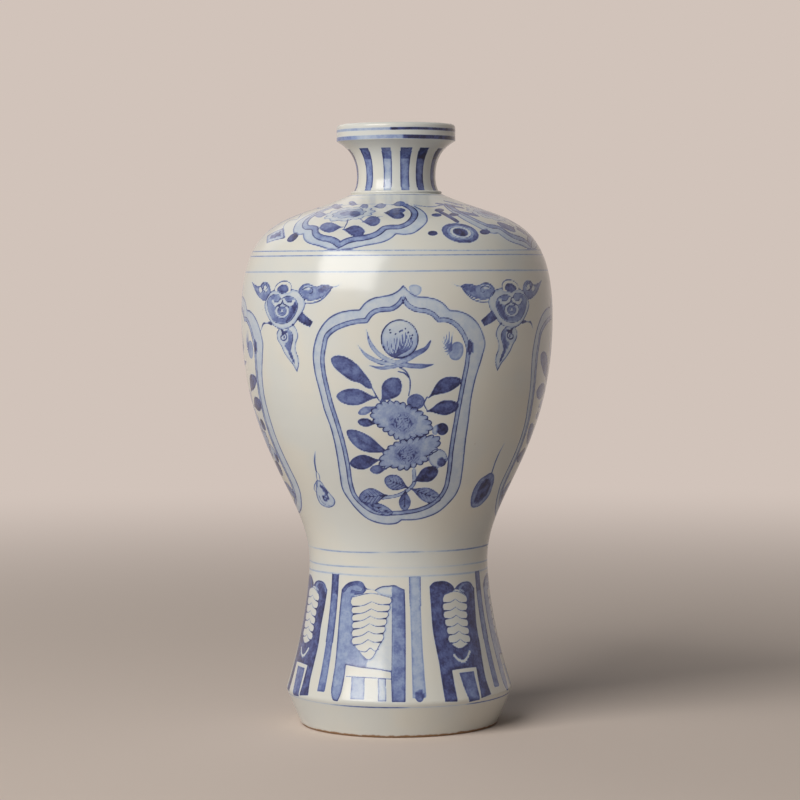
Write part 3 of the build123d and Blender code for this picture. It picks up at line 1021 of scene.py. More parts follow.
lozengeArt = {
    "centre": (276, 236),
    "edge": [[(267, 242.9), (267.5, 235.9)], [(282.7, 228.8)], [(283.8, 238.1)], [(267, 242.9)]],
    "inside": [[(270.2, 239), (270.6, 236)], [(281, 231)], [(281.2, 236.6)], [(270.2, 239)]],
    "ribbon": [(284.9, 237.5), (283.8, 231), (283.8, 226.1), (289.2, 220.7), (296.2, 219.6),
        (302.2, 213.9)],
    "drop": [(287, 239.7), (289.2, 236.4), (296.2, 232.6), (298.1, 236.4), (294.1, 240.8)],
    "marks": [
        ("edge", "fill", 0.25),
        ("inside", "fill", 0.75),
        ("edge", "line", 0.6, 0.85),
        ("ribbon", "line", 0.7, 0.58),
        ("drop", "fill", 0.85),
    ],
}


# Lappets round the skirt, of two kinds by turns, with plain stripes between them
skirtArt = {
    "angles": {"pale": (-18, 87.7, 189.4), "dark": (36.9, 138.6, 240.3, 291.1)},
    "pale": {
        "centre": (365, 640), "tone": 0.42, "edge": 0.84,
        "body": [
            [(340.1, 589.4), (339.2, 597.8), (337.8, 611.6), (335.5, 639.4), (332.7, 667.1), (330.4, 681),
                (329, 693), (330.9, 699.5), (334.6, 700.4)],
            [(337.4, 694), (340.1, 682.9), (342, 671.8), (342.9, 664)],
            [(358.6, 667.1), (374, 669), (388.3, 671.8)],
            [(388.8, 690), (389, 701.5)],
            [(401.6, 701.5)],
            [(402, 670), (402.2, 640), (402, 610), (401.4, 590)],
            [(397.6, 588.5), (392, 585.7), (386.5, 586.2), (380, 586.7), (375.4, 588.5), (372.6, 590.4)],
            [(363.7, 588.5), (359.5, 582.5), (352, 581.5), (345, 584), (340.1, 589.4)],
        ],
        "washes": [
            ([(376, 597), (389.3, 597), (389.3, 671), (363, 667.5), (366, 655), (376, 640)], 0.13),
            ([(372.8, 591), (376.6, 588), (383, 586.4), (389.3, 586.4), (389.3, 597), (381, 597)], 0.14),
            ([(389.3, 592), (401.8, 592), (401.8, 701), (389.3, 701)], 0.52),
        ],
        "lines": [
            [(389.3, 597), (389.3, 635), (388.8, 671)],
            [(343.4, 676), (365, 677.5), (388, 679)],
            [(355.5, 650.5), (363, 651.6), (367.5, 648), (372, 651), (376, 649)],
        ],
        "scrolls": [
            (
                [(341.5, 590.5), (344.4, 586), (351, 583.3), (358.9, 585), (362, 589), (360, 592.4),
                    (354.8, 593.2), (350, 591.4)],
                1.7, 0.68,
            ),
            ([(373.5, 591), (377, 594.4), (382, 596.8), (388, 596.4)], 0.8, 0.2),
        ],
        "bare": [
            [(352, 595.5), (361, 593.6), (364.5, 589.4), (371.8, 590.2), (378, 595), (388.4, 597),
                (388, 605), (350, 605)],
        ],
        "braid": {
            "lift": 4.0, "sag": 1.6, "bulge": 1.7, "tip": (366.5, 659.5),
            "left": [(349.8, 597), (350.2, 606.5), (351, 614), (351, 621.5), (351, 629), (350.4, 637),
                (351, 645)],
            "right": [(388, 597.6), (386.8, 604.5), (384.8, 611.5), (383.2, 618.5), (381.6, 626),
                (380, 633.5), (378.4, 642)],
        },
        "patches": [
            ([(349.1, 677), (361.2, 677.5), (360.6, 699), (347.6, 698.5)], 0.32),
            ([(375, 678.5), (382.2, 679), (382.6, 701), (375, 701)], 0.2),
        ],
    },
    "dark": {
        "centre": (458, 640), "tone": 0.78, "edge": 0.9,
        "body": [
            [(428.7, 586.7), (430.1, 607), (431.9, 630.1), (435.2, 648.6), (438, 662.5), (440.7, 681),
                (444, 701.3)],
            [(455.5, 701.2)],
            [(452.8, 685.6), (450, 669.9)],
            [(462, 668), (475.4, 666.7)],
            [(476.8, 676.4), (479.1, 688.4), (480.5, 697.7)],
            [(489.8, 694)],
            [(485.1, 681), (481.4, 662.5), (478.7, 644), (475.4, 625.5), (474, 607), (473.1, 588.5)],
            [(469, 583.5), (463, 582.4), (457, 585.4), (453.7, 589.4)],
            [(450.9, 587.6), (445.4, 583.9), (438.9, 582), (432.4, 583), (428.7, 586.7)],
        ],
        "washes": [], "lines": [],
        "scrolls": [
            (
                [(430.2, 588), (434.6, 584), (441.6, 582.6), (448.4, 585), (451.6, 588.6), (447, 590.6),
                    (443.5, 591.6)],
                1.6, 0.8,
            ),
            ([(458.6, 588), (462.4, 584), (467, 582.8), (470.6, 585.4), (471.6, 589.4)], 1.4, 0.55),
            ([(458.2, 589.6), (462.6, 591.7)], 1.0, 0.3),
        ],
        "bare": [
            [(445, 595), (451, 592), (454, 589.4), (457, 589.6), (464, 595), (465, 602), (443, 602)],
        ],
        "braid": {
            "lift": 3.8, "sag": 1.4, "bulge": 1.4, "tip": (457.5, 648.5),
            "left": [(443.3, 594.6), (442.2, 603), (443, 611), (444, 619), (446, 627), (447.6, 635),
                (448.8, 643.4)],
            "right": [(464.5, 595.5), (465.2, 603), (464.8, 611), (465.4, 619), (466.2, 627),
                (467.2, 634.8), (468.6, 642.8)],
        },
        "patches": [
            (
                [(468, 701.8), (462.6, 687), (458.2, 673.2), (472.4, 671.6), (475.4, 685),
                    (478.4, 699.6)],
                0.62,
            ),
        ],
        "loop": [(453, 655.5), (457, 659.5), (462, 661.2), (466, 657.5), (468.4, 651.6)],
    },
}


lappetBrushes = {
    "edgeWidth": 0.6, "scrollLine": (0.45, 0.86), "scrollLineAway": 0.55, "line": (0.45, 0.76),
    "loopWash": (1.3, 0.12), "loopLine": (0.4, 0.8), "loopLineAway": 0.7,
    "braidLine": (0.42, 0.84), "grainLine": (0.42, (0.95, 0.72), (2.2, 0.8)),
    "braidMiddle": 0.52, "grainSag": 0.6,
}


# A braid is left bare, with scalloped sides, and thin lines part its plump grains
def drawBraid(motif, braid):
    left, right = (np.array(braid[side], float) for side in ("left", "right"))
    look = lappetBrushes
    middle = left + (right - left) * look["braidMiddle"] - (0, braid["lift"])
    bulge = (braid["bulge"], 0)
    runs = [[a, (a + b) / 2 - bulge, b] for a, b in zip(left[:-1], left[1:])]
    runs.append([left[-1], np.array(braid["tip"]), right[-1]])
    runs += [[b, (a + b) / 2 + bulge, a] for a, b in zip(right[-2::-1], right[:0:-1])]
    runs.append([right[0], middle[0], left[0]])
    shape = trace(motif, [[tuple(spot) for spot in run[min(i, 1):]] for i, run in enumerate(runs)])
    clear(motif, shape[:-1])
    stroke(motif, shape, *look["braidLine"])
    for i in range(1, len(left)):
        for outer in (left[i], right[i]):
            sagging = outer + (middle[i] - outer) * look["grainSag"] + (0, braid["sag"])
            grain = [tuple(spot) for spot in (outer, sagging, middle[i])]
            stroke(motif, grain, *look["grainLine"])


def drawLappet(kind):
    art, look = skirtArt[kind], lappetBrushes
    motif = newMotif(art["centre"])
    body = trace(motif, art["body"])
    area(motif, body, art["tone"])
    for corners, tone in art["washes"]:
        area(motif, place(motif, corners), tone)
    stroke(motif, np.vstack([body, body[:1]]), look["edgeWidth"], art["edge"])
    for path, width, tone in art["scrolls"]:
        washLine(motif, path, width, tone)
        stroke(motif, path, *look["scrollLine"], offset=-width * look["scrollLineAway"])
    for corners in art["bare"]:
        clear(motif, place(motif, corners))
    drawBraid(motif, art["braid"])
    for line in art["lines"]:
        stroke(motif, line, *look["line"])
    if "loop" in art:
        washLine(motif, art["loop"], *look["loopWash"])
        stroke(motif, art["loop"], *look["loopLine"], offset=look["loopLineAway"])
    for corners, tone in art["patches"]:
        polygon = place(motif, corners)
        area(motif, polygon, tone)
        stroke(motif, np.vstack([polygon, polygon[:1]]), *look["line"])
    return motif


# Upright stripes, as (height in mm, half width in degrees) from the bottom to the top
stripeArt = {
    "skirtLight": {
        "angles": (10.2, 112, 215), "shape": [(20.5, 3.5), (48, 3.2), (78.5, 3.4)], "tone": (0.35, 0.3),
        "bands": [], "edge": (0.82, 62, 78.5), "edgeWidth": 0.45, "drops": [(21.6, 2.3, 6.2, 0.7)],
    },
    "skirtDark": {
        "angles": (-43.7, 60.5, 164, 266), "shape": [(21.5, 2.7), (48, 2.6), (78.5, 2.7)],
        "tone": (0.55, 0.5), "bands": [(68, 78.5, 0.72)], "edge": (0.86, 44, 78.5), "edgeWidth": 0.6,
        "drops": [],
    },
    "neckPale": {
        "angles": (-12, 126, 216), "shape": [(266.9, 5.2), (277, 5.3), (284, 5.5), (288, 5.8)],
        "tone": (0.22, 0.36), "bands": [(282, 288, 0.62)], "edge": (0.88, 267, 287.6), "edgeWidth": 0.5,
        "drops": [],
    },
    "neckMiddle": {
        "angles": (-42, 12.5, 96, 186, 246), "shape": [(266.9, 5.6), (277, 5.7), (284, 6.4), (288, 7.2)],
        "tone": (0.44, 0.5), "bands": [(281, 288, 0.74)], "edge": (0.92, 267, 287.6), "edgeWidth": 0.52,
        "drops": [],
    },
    "neckDeep": {
        "angles": (-79, 36, 66, 156), "shape": [(266.9, 5.4), (277, 5.5), (284, 6.0), (288, 6.6)],
        "tone": (0.66, 0.7), "bands": [(281, 288, 0.92)], "edge": (0.95, 268, 287.6), "edgeWidth": 0.62,
        "drops": [],
    },
}


stripeRows = 13  # points up each side of a stripe


def drawStripe(kind):
    art = stripeArt[kind]
    low, high = art["shape"][0][0], art["shape"][-1][0]
    heights = np.linspace(low, high, stripeRows)
    halves = np.interp(heights, *np.array(art["shape"]).T)
    motif = newMotif(height=(low + high) / 2)
    left, right = (np.column_stack([side * halves, heights]) for side in (-1, 1))
    whole = placeTurned(motif, np.vstack([left, right[::-1]]))
    area(motif, whole, art["tone"], axis=placeTurned(motif, [(0, low), (0, high)]))
    for start, end, tone in art["bands"]:
        rows = (heights > start) & (heights <= end)
        area(motif, placeTurned(motif, np.vstack([left[rows], right[rows][::-1]])), tone)
    tone, start, end = art["edge"]
    rows = (heights > start) & (heights <= end)
    for side in (left, right):
        stroke(motif, smoothLine(placeTurned(motif, side[rows])), art["edgeWidth"], tone)
    for height, wide, tall, tone in art["drops"]:
        turns = np.linspace(0, 2 * math.pi, 16, endpoint=False)
        spots = np.column_stack([wide * np.cos(turns), height + tall / 2 * np.sin(turns)])
        area(motif, placeTurned(motif, spots), tone)
    return motif


# Rings round the pot: height, width in mm, how far it wanders, and its tone by degrees round the pot
ringsArt = [
    {
        "height": 297.0, "width": 1.3, "wander": 0.08,
        "tones": [(-150, 0.5), (-90, 0.36), (-30, 0.32), (-6, 0.36), (-4, 0.97), (75, 0.95), (130, 0.5)],
    },
    {
        "height": 293.0, "width": 1.9, "wander": 0.08,
        "tones": [(-150, 0.6), (-90, 0.5), (-45, 0.48), (-30, 0.24), (-16, 0.36), (6, 0.44), (8, 0.97),
            (75, 0.95), (140, 0.5)],
    },
    {
        "height": 264.8, "width": 0.6, "wander": 0.1,
        "tones": [(-120, 0.5), (-20, 0.55), (15, 0.7), (60, 0.55)],
    },
    {"height": 262.9, "width": 0.45, "wander": 0.1, "tones": [(-120, 0.2), (0, 0.3), (90, 0.3)]},
    {
        "height": 237.1, "width": 0.7, "wander": 0.12,
        "tones": [(-120, 0.4), (-30, 0.5), (40, 0.4), (120, 0.5)],
    },
    {
        "height": 234.9, "width": 0.7, "wander": 0.12,
        "tones": [(-120, 0.45), (-30, 0.45), (40, 0.42), (120, 0.5)],
    },
    {"height": 227.2, "width": 0.8, "wander": 0.15, "tones": [(-120, 0.3), (0, 0.34), (120, 0.3)]},
    {
        "height": 90.2, "width": 0.8, "wander": 0.25,
        "tones": [(-150, 0.3), (-75, 0.12), (-50, 0.36), (-18, 0.34), (-9, 0.1), (0, 0.36), (10, 0.34),
            (17, 0.12), (35, 0.36), (75, 0.55), (120, 0.3)],
    },
    {
        "height": 82.6, "width": 0.8, "wander": 0.2,
        "tones": [(-120, 0.25), (-60, 0.25), (-35, 0.34), (-10, 0.12), (30, 0.12), (60, 0.24),
            (120, 0.3)],
    },
    {
        "height": 78.5, "width": 0.9, "wander": 0.2,
        "tones": [(-120, 0.3), (-60, 0.28), (-30, 0.2), (0, 0.12), (20, 0.2), (70, 0.26), (130, 0.2)],
    },
    {
        "height": 16.0, "width": 0.7, "wander": 0.2,
        "tones": [(-120, 0.4), (-50, 0.15), (-38, 0.2), (-28, 0.5), (-8, 0.76), (0, 0.6), (6, 0.16),
            (35, 0.16), (42, 0.6), (75, 0.7), (130, 0.4)],
    },
]


def paintRing(canvas, angles, lengths, ring, phase):
    slow, quick = np.sin(2 * angles + phase), np.sin(5 * angles + 2 * phase)  # waves round the pot
    wander = ring["wander"] * (slow + quick / 2)
    value = np.abs(lengths - lengthAt(ring["height"]) - wander) - ring["width"] / 2
    index = np.flatnonzero(value < markReach)
    tone = np.interp(np.degrees(angles[index]), *np.array(ring["tones"]).T, period=360)
    layMark(canvas, "ink", index, value[index], tone, value[index] + ring["width"] / 2)


def makeOrnament():
    panel, cloud, collar = drawPanel(), drawCharm(cloudArt), drawCollar()
    copies = [(panel, panel["angle"] + math.radians(a), 1) for a in panelArt["angles"]]
    for quarter in range(4):
        side = -1 if quarter % 2 else 1
        copies.append((cloud, cloud["angle"] * side + math.pi * (quarter // 2), side))
        copies.append((collar, collar["angle"] + math.pi / 2 * quarter, 1))
    charms = (drawPearl("left"), drawPearl("right"), drawJewel(), drawCharm(lozengeArt))
    for charm in charms:
        copies += [(charm, charm["angle"] + math.pi * half, 1) for half in range(2)]
    for kind, angles in skirtArt["angles"].items():
        lappet = drawLappet(kind)
        copies += [(lappet, math.radians(a), 1) for a in angles]
    for kind, art in stripeArt.items():
        stripe = drawStripe(kind)
        copies += [(stripe, math.radians(a), 1) for a in art["angles"]]
    return copies


ornament = makeOrnament()
print("ornament drawn:", sum(len(motif["marks"]) for motif, angle, flip in ornament), "marks")


def paint(angles, lengths):
    canvas = newCanvas(len(angles))
    for motif, angle, flip in ornament:
        paintMotif(canvas, angles, lengths, motif, angle, flip)
    for phase, ring in enumerate(ringsArt):
        paintRing(canvas, angles, lengths, ring, phase)
    return canvas


# Meshes: each section is one closed outline, spun and then refined where the painting needs it
outsideLimit = 10**8  # numbers below this belong to vertices of the outer face
outsideDepth = 0.12  # mm from the outline within which a vertex is on the outer face
mergeReach = 1e-7  # metres within which the ends of the spin are joined
meshPlan = {
    "rowTurn": math.radians(6), "innerStep": 9.0, "sharpTurn": math.radians(40),
    "edgeReach": 1.6, "fineReach": 0.8, "floorRow": 0.5, "discTopRow": 0.7,
    "columns": {
        "base_disc": 240, "skirt": 190, "lower_body": 212, "upper_body": 184, "neck_and_mouth": 240,
        "base_luting": 360, "waist_luting": 360, "belly_luting": 600, "neck_luting": 240,
    },
    "steps": {"base_disc": 1.6, "skirt": 1.8, "lower_body": 2.2, "upper_body": 2.7, "neck_and_mouth": 0.8},
}


def rowsBetween(low, high, step):
    start, end = lengthAt(low), lengthAt(high)
    between = outlineLength[(outlineLength > start) & (outlineLength < end)]
    lengths = np.concatenate([[start], between, [end]])
    heading = np.unwrap(np.arctan2(*np.diff(outline, axis=0).T))
    turns = np.cumsum(np.abs(np.diff(heading, prepend=heading[0])))
    turned = np.interp(lengths, (outlineLength[1:] + outlineLength[:-1]) / 2, turns)
    weight = np.maximum(np.diff(lengths) / step, np.diff(turned) / meshPlan["rowTurn"])
    weight = np.concatenate([[0], np.cumsum(weight)])
    rows = np.linspace(0, weight[-1], max(3, math.ceil(weight[-1]) + 1))
    lengths = np.interp(rows, weight, lengths)
    return np.column_stack([radiusAt(lengths), np.interp(lengths, outlineLength, outline[:, 1])])


def spinProfile(profile, columns, closed):
    bm = bmesh.new()
    verts = [bm.verts.new((r * mm, 0, z * mm)) for r, z in profile]
    ends = verts[1:] + verts[:1] if closed else verts[1:]
    edges = [bm.edges.new(pair) for pair in zip(verts, ends)]
    bmesh.ops.spin(bm, geom=verts + edges, cent=(0, 0, 0), axis=(0, 0, 1), dvec=(0, 0, 0),
                   angle=2 * math.pi, steps=columns, use_merge=True, use_duplicate=False)
    bmesh.ops.remove_doubles(bm, verts=bm.verts, dist=mergeReach)
    bmesh.ops.recalc_face_normals(bm, faces=bm.faces)
    return bm


def onOutside(places):
    radius = np.hypot(places[:, 0], places[:, 1])
    ideal = radiusAt(lengthAt(places[:, 2]))
    return np.abs(radius - ideal) < outsideDepth


# Adds vertices to the outer face near the edges of the painting, and paints them too
def refineOnce(bm, numbers, canvas, layers, reach):
    near = np.min([np.abs(canvas[layer]) for layer in layers], axis=0) < reach
    faces = [f for f in bm.faces if all(v[numbers] < outsideLimit for v in f.verts)
             and any(near[v[numbers]] for v in f.verts)]
    edges = list({e for f in faces for e in f.edges})
    inner = bmesh.ops.subdivide_edges(bm, edges=edges, cuts=1, use_grid_fill=True)["geom_inner"]
    added = [v for v in inner if isinstance(v, bmesh.types.BMVert)]
    places = np.array([v.co for v in added]) / mm
    shares = radiusAt(lengthAt(places[:, 2])) / np.hypot(places[:, 0], places[:, 1])
    for number, (v, share) in enumerate(zip(added, shares.tolist()), len(near)):
        v[numbers] = number
        v.co.x *= share
        v.co.y *= share
    fresh = paint(*anglesAndLengths(np.array([v.co for v in added]) / mm))
    return {layer: np.concatenate([canvas[layer], fresh[layer]]) for layer in canvas}


def anglesAndLengths(places):
    return np.arctan2(places[:, 0], -places[:, 1]), lengthAt(places[:, 2])


def makeSection(node, name, profile, closed, levels):
    bm = spinProfile(profile, meshPlan["columns"][node], closed)
    numbers = bm.verts.layers.int.new("number")
    places = np.array([v.co for v in bm.verts]) / mm
    outside = np.flatnonzero(onOutside(places))
    for v in bm.verts:
        v[numbers] = outsideLimit
    bm.verts.ensure_lookup_table()
    for number, index in enumerate(outside):
        bm.verts[index][numbers] = number
    canvas = paint(*anglesAndLengths(places[outside]))
    rounds = ((("ink", "wash"), meshPlan["edgeReach"]), (("fine",), meshPlan["fineReach"]))
    for layers, reach in rounds[:levels]:
        canvas = refineOnce(bm, numbers, canvas, layers, reach)
    return finishMesh(name, bm, numbers, canvas)


def finishMesh(name, bm, numbers, canvas):
    for edge in bm.edges:
        edge.smooth = edge.calc_face_angle(0) < meshPlan["sharpTurn"]
    for face in bm.faces:
        face.smooth = True
    order = np.array([v[numbers] for v in bm.verts])
    bm.verts.layers.int.remove(numbers)
    mesh = bpy.data.meshes.new(name)
    bm.to_mesh(mesh)
    bm.free()
    outside = order < outsideLimit
    for layer in ("ink", "inkTone", "wash", "washTone"):
        values = np.full(len(order), 0.0 if layer.endswith("Tone") else farAway, np.float32)
        values[outside] = canvas[layer][order[outside]]
        mesh.attributes.new(layer, "FLOAT", "POINT").data.foreach_set("value", values)
    setOutsideNormals(mesh, outside)
    piece = bpy.data.objects.new(name, mesh)
    bpy.context.scene.collection.objects.link(piece)
    print(name, "made:", sum(len(p.vertices) - 2 for p in mesh.polygons), "triangles")
    return piece


# The outer face takes its normals from the outline itself, so that reflections run smoothly
def setOutsideNormals(mesh, outside):
    places = np.empty(len(mesh.vertices) * 3, np.float32)
    mesh.vertices.foreach_get("co", places)
    angles, lengths = anglesAndLengths(places.reshape(-1, 3) / mm)
    run = np.column_stack([np.interp(lengths, outlineLength, outlineRun[:, k]) for k in (0, 1)])
    run /= np.linalg.norm(run, axis=1)[:, None]
    ideal = np.column_stack([run[:, 1] * np.sin(angles), -run[:, 1] * np.cos(angles), -run[:, 0]])
    corners = np.empty(len(mesh.loops), np.int32)
    mesh.loops.foreach_get("vertex_index", corners)
    starts = np.empty(len(mesh.polygons), np.int32)
    mesh.polygons.foreach_get("loop_start", starts)
    whole = np.logical_and.reduceat(outside[corners], starts)
    chosen = np.repeat(whole, np.diff(np.append(starts, len(corners))))
    mesh.normals_split_custom_set(np.where(chosen[:, None], ideal[corners], 0.0))


def innerRows(low, high):
    heights = np.linspace(high, low, max(2, math.ceil((high - low) / meshPlan["innerStep"]) + 1))
    return np.column_stack([insideRadius(heights), heights])


def wallProfile(low, high, step):
    return np.vstack([rowsBetween(low, high, step), innerRows(low, high)])


def baseDiscProfile(step):
    recess = pot["footRadius"] - pot["footRingWidth"]
    depth, rounding, top = pot["recessDepth"], pot["footRounding"], jointHeights["base_disc"]
    inner = roundedCorner((recess, depth), (recess, 0), (pot["footRadius"], 0), rounding, count=6)
    floor = [(0, depth), (recess * meshPlan["floorRow"], depth), (recess, depth)]
    topRow = (recess * meshPlan["discTopRow"], top)
    justAbove = outline[0, 1] + 1e-6  # mm: the flat under the foot has one height and many lengths
    outer = rowsBetween(justAbove, top, step)
    return np.vstack([floor, inner, outline[:1], outer[1:], [topRow, (0, top)]])


def neckProfile(step):
    leave, width, rise = bends["mouth"]
    lip = pot["rimRadius"] - pot["rimWall"]
    spread, height = lip - pot["throatRadius"], pot["rimTopHeight"] - pot["throatTopHeight"]
    foot = np.array((pot["throatRadius"], pot["throatTopHeight"]))
    mouth = bezierPoints(foot, foot + (0, leave * height), foot + (width * spread, rise * height),
                         (lip, pot["rimTopHeight"]), count=16)
    rimEdge = (pot["rimRadius"], pot["rimTopHeight"])
    rounding = roundedCorner(rimEdge, mouth[-1], mouth[-2], pot["lipRounding"], count=7)
    mouth = mouth[mouth[:, 1] < rounding[-1, 1] - finestStep]
    low = jointHeights["upper_body"] + slipThickness
    outer = rowsBetween(low, pot["rimTopHeight"], step)
    return np.vstack([outer, rounding, mouth[::-1], [(pot["throatRadius"], low)]])


# A ring of slip between two sections, with its bead inside the pot
def slipProfile(low, bead, beadFrom, beadTo):
    high, half = low + slipThickness, low + slipThickness / 2
    outer = rowsBetween(low, high, slipThickness)
    inner = insideRadius(half)
    turns = np.radians(np.linspace(beadFrom, beadTo, 9))
    arc = np.column_stack([inner + bead * np.cos(turns), half + bead * np.sin(turns)])
    if beadTo <= 180:  # a coil that lies on the section below
        arc[:, 1] = np.maximum(arc[:, 1], low)
    return np.vstack([outer, [(inner, high)], arc, [(inner, low)]])


# The fine ridge of slip round the foot of the neck
neckSlip = {"bead": 0.8, "turn": (-45, 145), "baseRadius": 20.5}


def neckSlipProfile():
    low, high = jointHeights["upper_body"], jointHeights["upper_body"] + slipThickness
    bead, base, throat = neckSlip["bead"], neckSlip["baseRadius"], pot["throatRadius"]
    turns = np.radians(np.linspace(*neckSlip["turn"], 16))
    arc = np.column_stack([pot["neckBaseRadius"] + bead * np.cos(turns),
                           low + slipThickness / 2 + bead * np.sin(turns)])
    return np.vstack([arc, [(base, high), (throat, high), (throat, low), (base, low)]])


wallNames = {
    "skirt": "skirt_painted", "lower_body": "lower_body_painted", "upper_body": "upper_body_painted",
}
# Name, section below, bead in mm, and the bead's turn in degrees
slips = {
    "base_luting": ("base_slip", "base_disc", 2.6, 90, 180),
    "waist_luting": ("waist_slip", "skirt", 1.6, 90, 270),
    "belly_luting": ("belly_slip", "lower_body", 1.6, 90, 270),
}
# How often each piece is refined round its painting
refinings = {"skirt": 2, "lower_body": 2, "upper_body": 2, "neck_and_mouth": 1, "belly_luting": 1}


def makePot():
    steps, joints = meshPlan["steps"], jointHeights
    profiles = {"base_disc": ("base_disc_glazed", baseDiscProfile(steps["base_disc"]))}
    for below, (node, name) in zip(sectionsBelow, wallNames.items()):
        profile = wallProfile(joints[below] + slipThickness, joints[node], steps[node])
        profiles[node] = (name, profile)
    profiles["neck_and_mouth"] = ("neck_painted", neckProfile(steps["neck_and_mouth"]))
    for node, (name, below, bead, beadFrom, beadTo) in slips.items():
        profiles[node] = (name, slipProfile(joints[below], bead, beadFrom, beadTo))
    profiles["neck_luting"] = ("neck_slip", neckSlipProfile())
    return {node: makeSection(node, name, profile, node != "base_disc", refinings.get(node, 0))
            for node, (name, profile) in profiles.items()}


pieces = makePot()
print("sections spun and painted")


# Materials
def hexColour(text):  # from screen colour to linear light
    parts = [int(text[i:i + 2], 16) / 255 for i in (1, 3, 5)]
    return [c / 12.92 if c <= 0.04045 else ((c + 0.055) / 1.055) ** 2.4 for c in parts] + [1.0]


# Adds one node; an input is a value, a socket, or a node whose first output is meant
def addNode(tree, kind, inputs=None, **settings):
    node = tree.nodes.new("ShaderNode" + kind)
    for name, value in settings.items():
        setattr(node, name, value)
    for name, value in (inputs or {}).items():
        if isinstance(value, bpy.types.Node):
            value = value.outputs[0]
        if isinstance(value, bpy.types.NodeSocket):
            tree.links.new(value, node.inputs[name])
        else:
            node.inputs[name].default_value = value
    return node


porcelain = {
    "glazeCool": "#cacfce", "glazeWarm": "#d4d2c8",
    "cobalt": [  # strength of the cobalt wash and the colour it gives under the glaze
        (0.0, "#d2d3cd"), (0.12, "#c4ccd2"), (0.25, "#aab8cc"), (0.4, "#8a9bbf"), (0.55, "#6878a8"),
        (0.7, "#4d5a8e"), (0.85, "#363e70"), (1.0, "#22264a")],
    "roughness": 0.17, "bareRoughness": 0.75, "ior": 1.5, "bareClay": "#8a6a4c", "bareHeight": 1.5,
    "speck": "#7a5a3c",
    "inkWander": 0.22, "washWander": 0.5, "inkSoftness": 0.16, "washSoftness": 0.22,
    "cloudSize": 34.0, "mottleSize": 4.2, "grainSize": 1.0, "orangePeel": 2.6, "throwingRise": 11.0,
    "speckSpacing": 13.0, "throwingShare": 0.23,
}


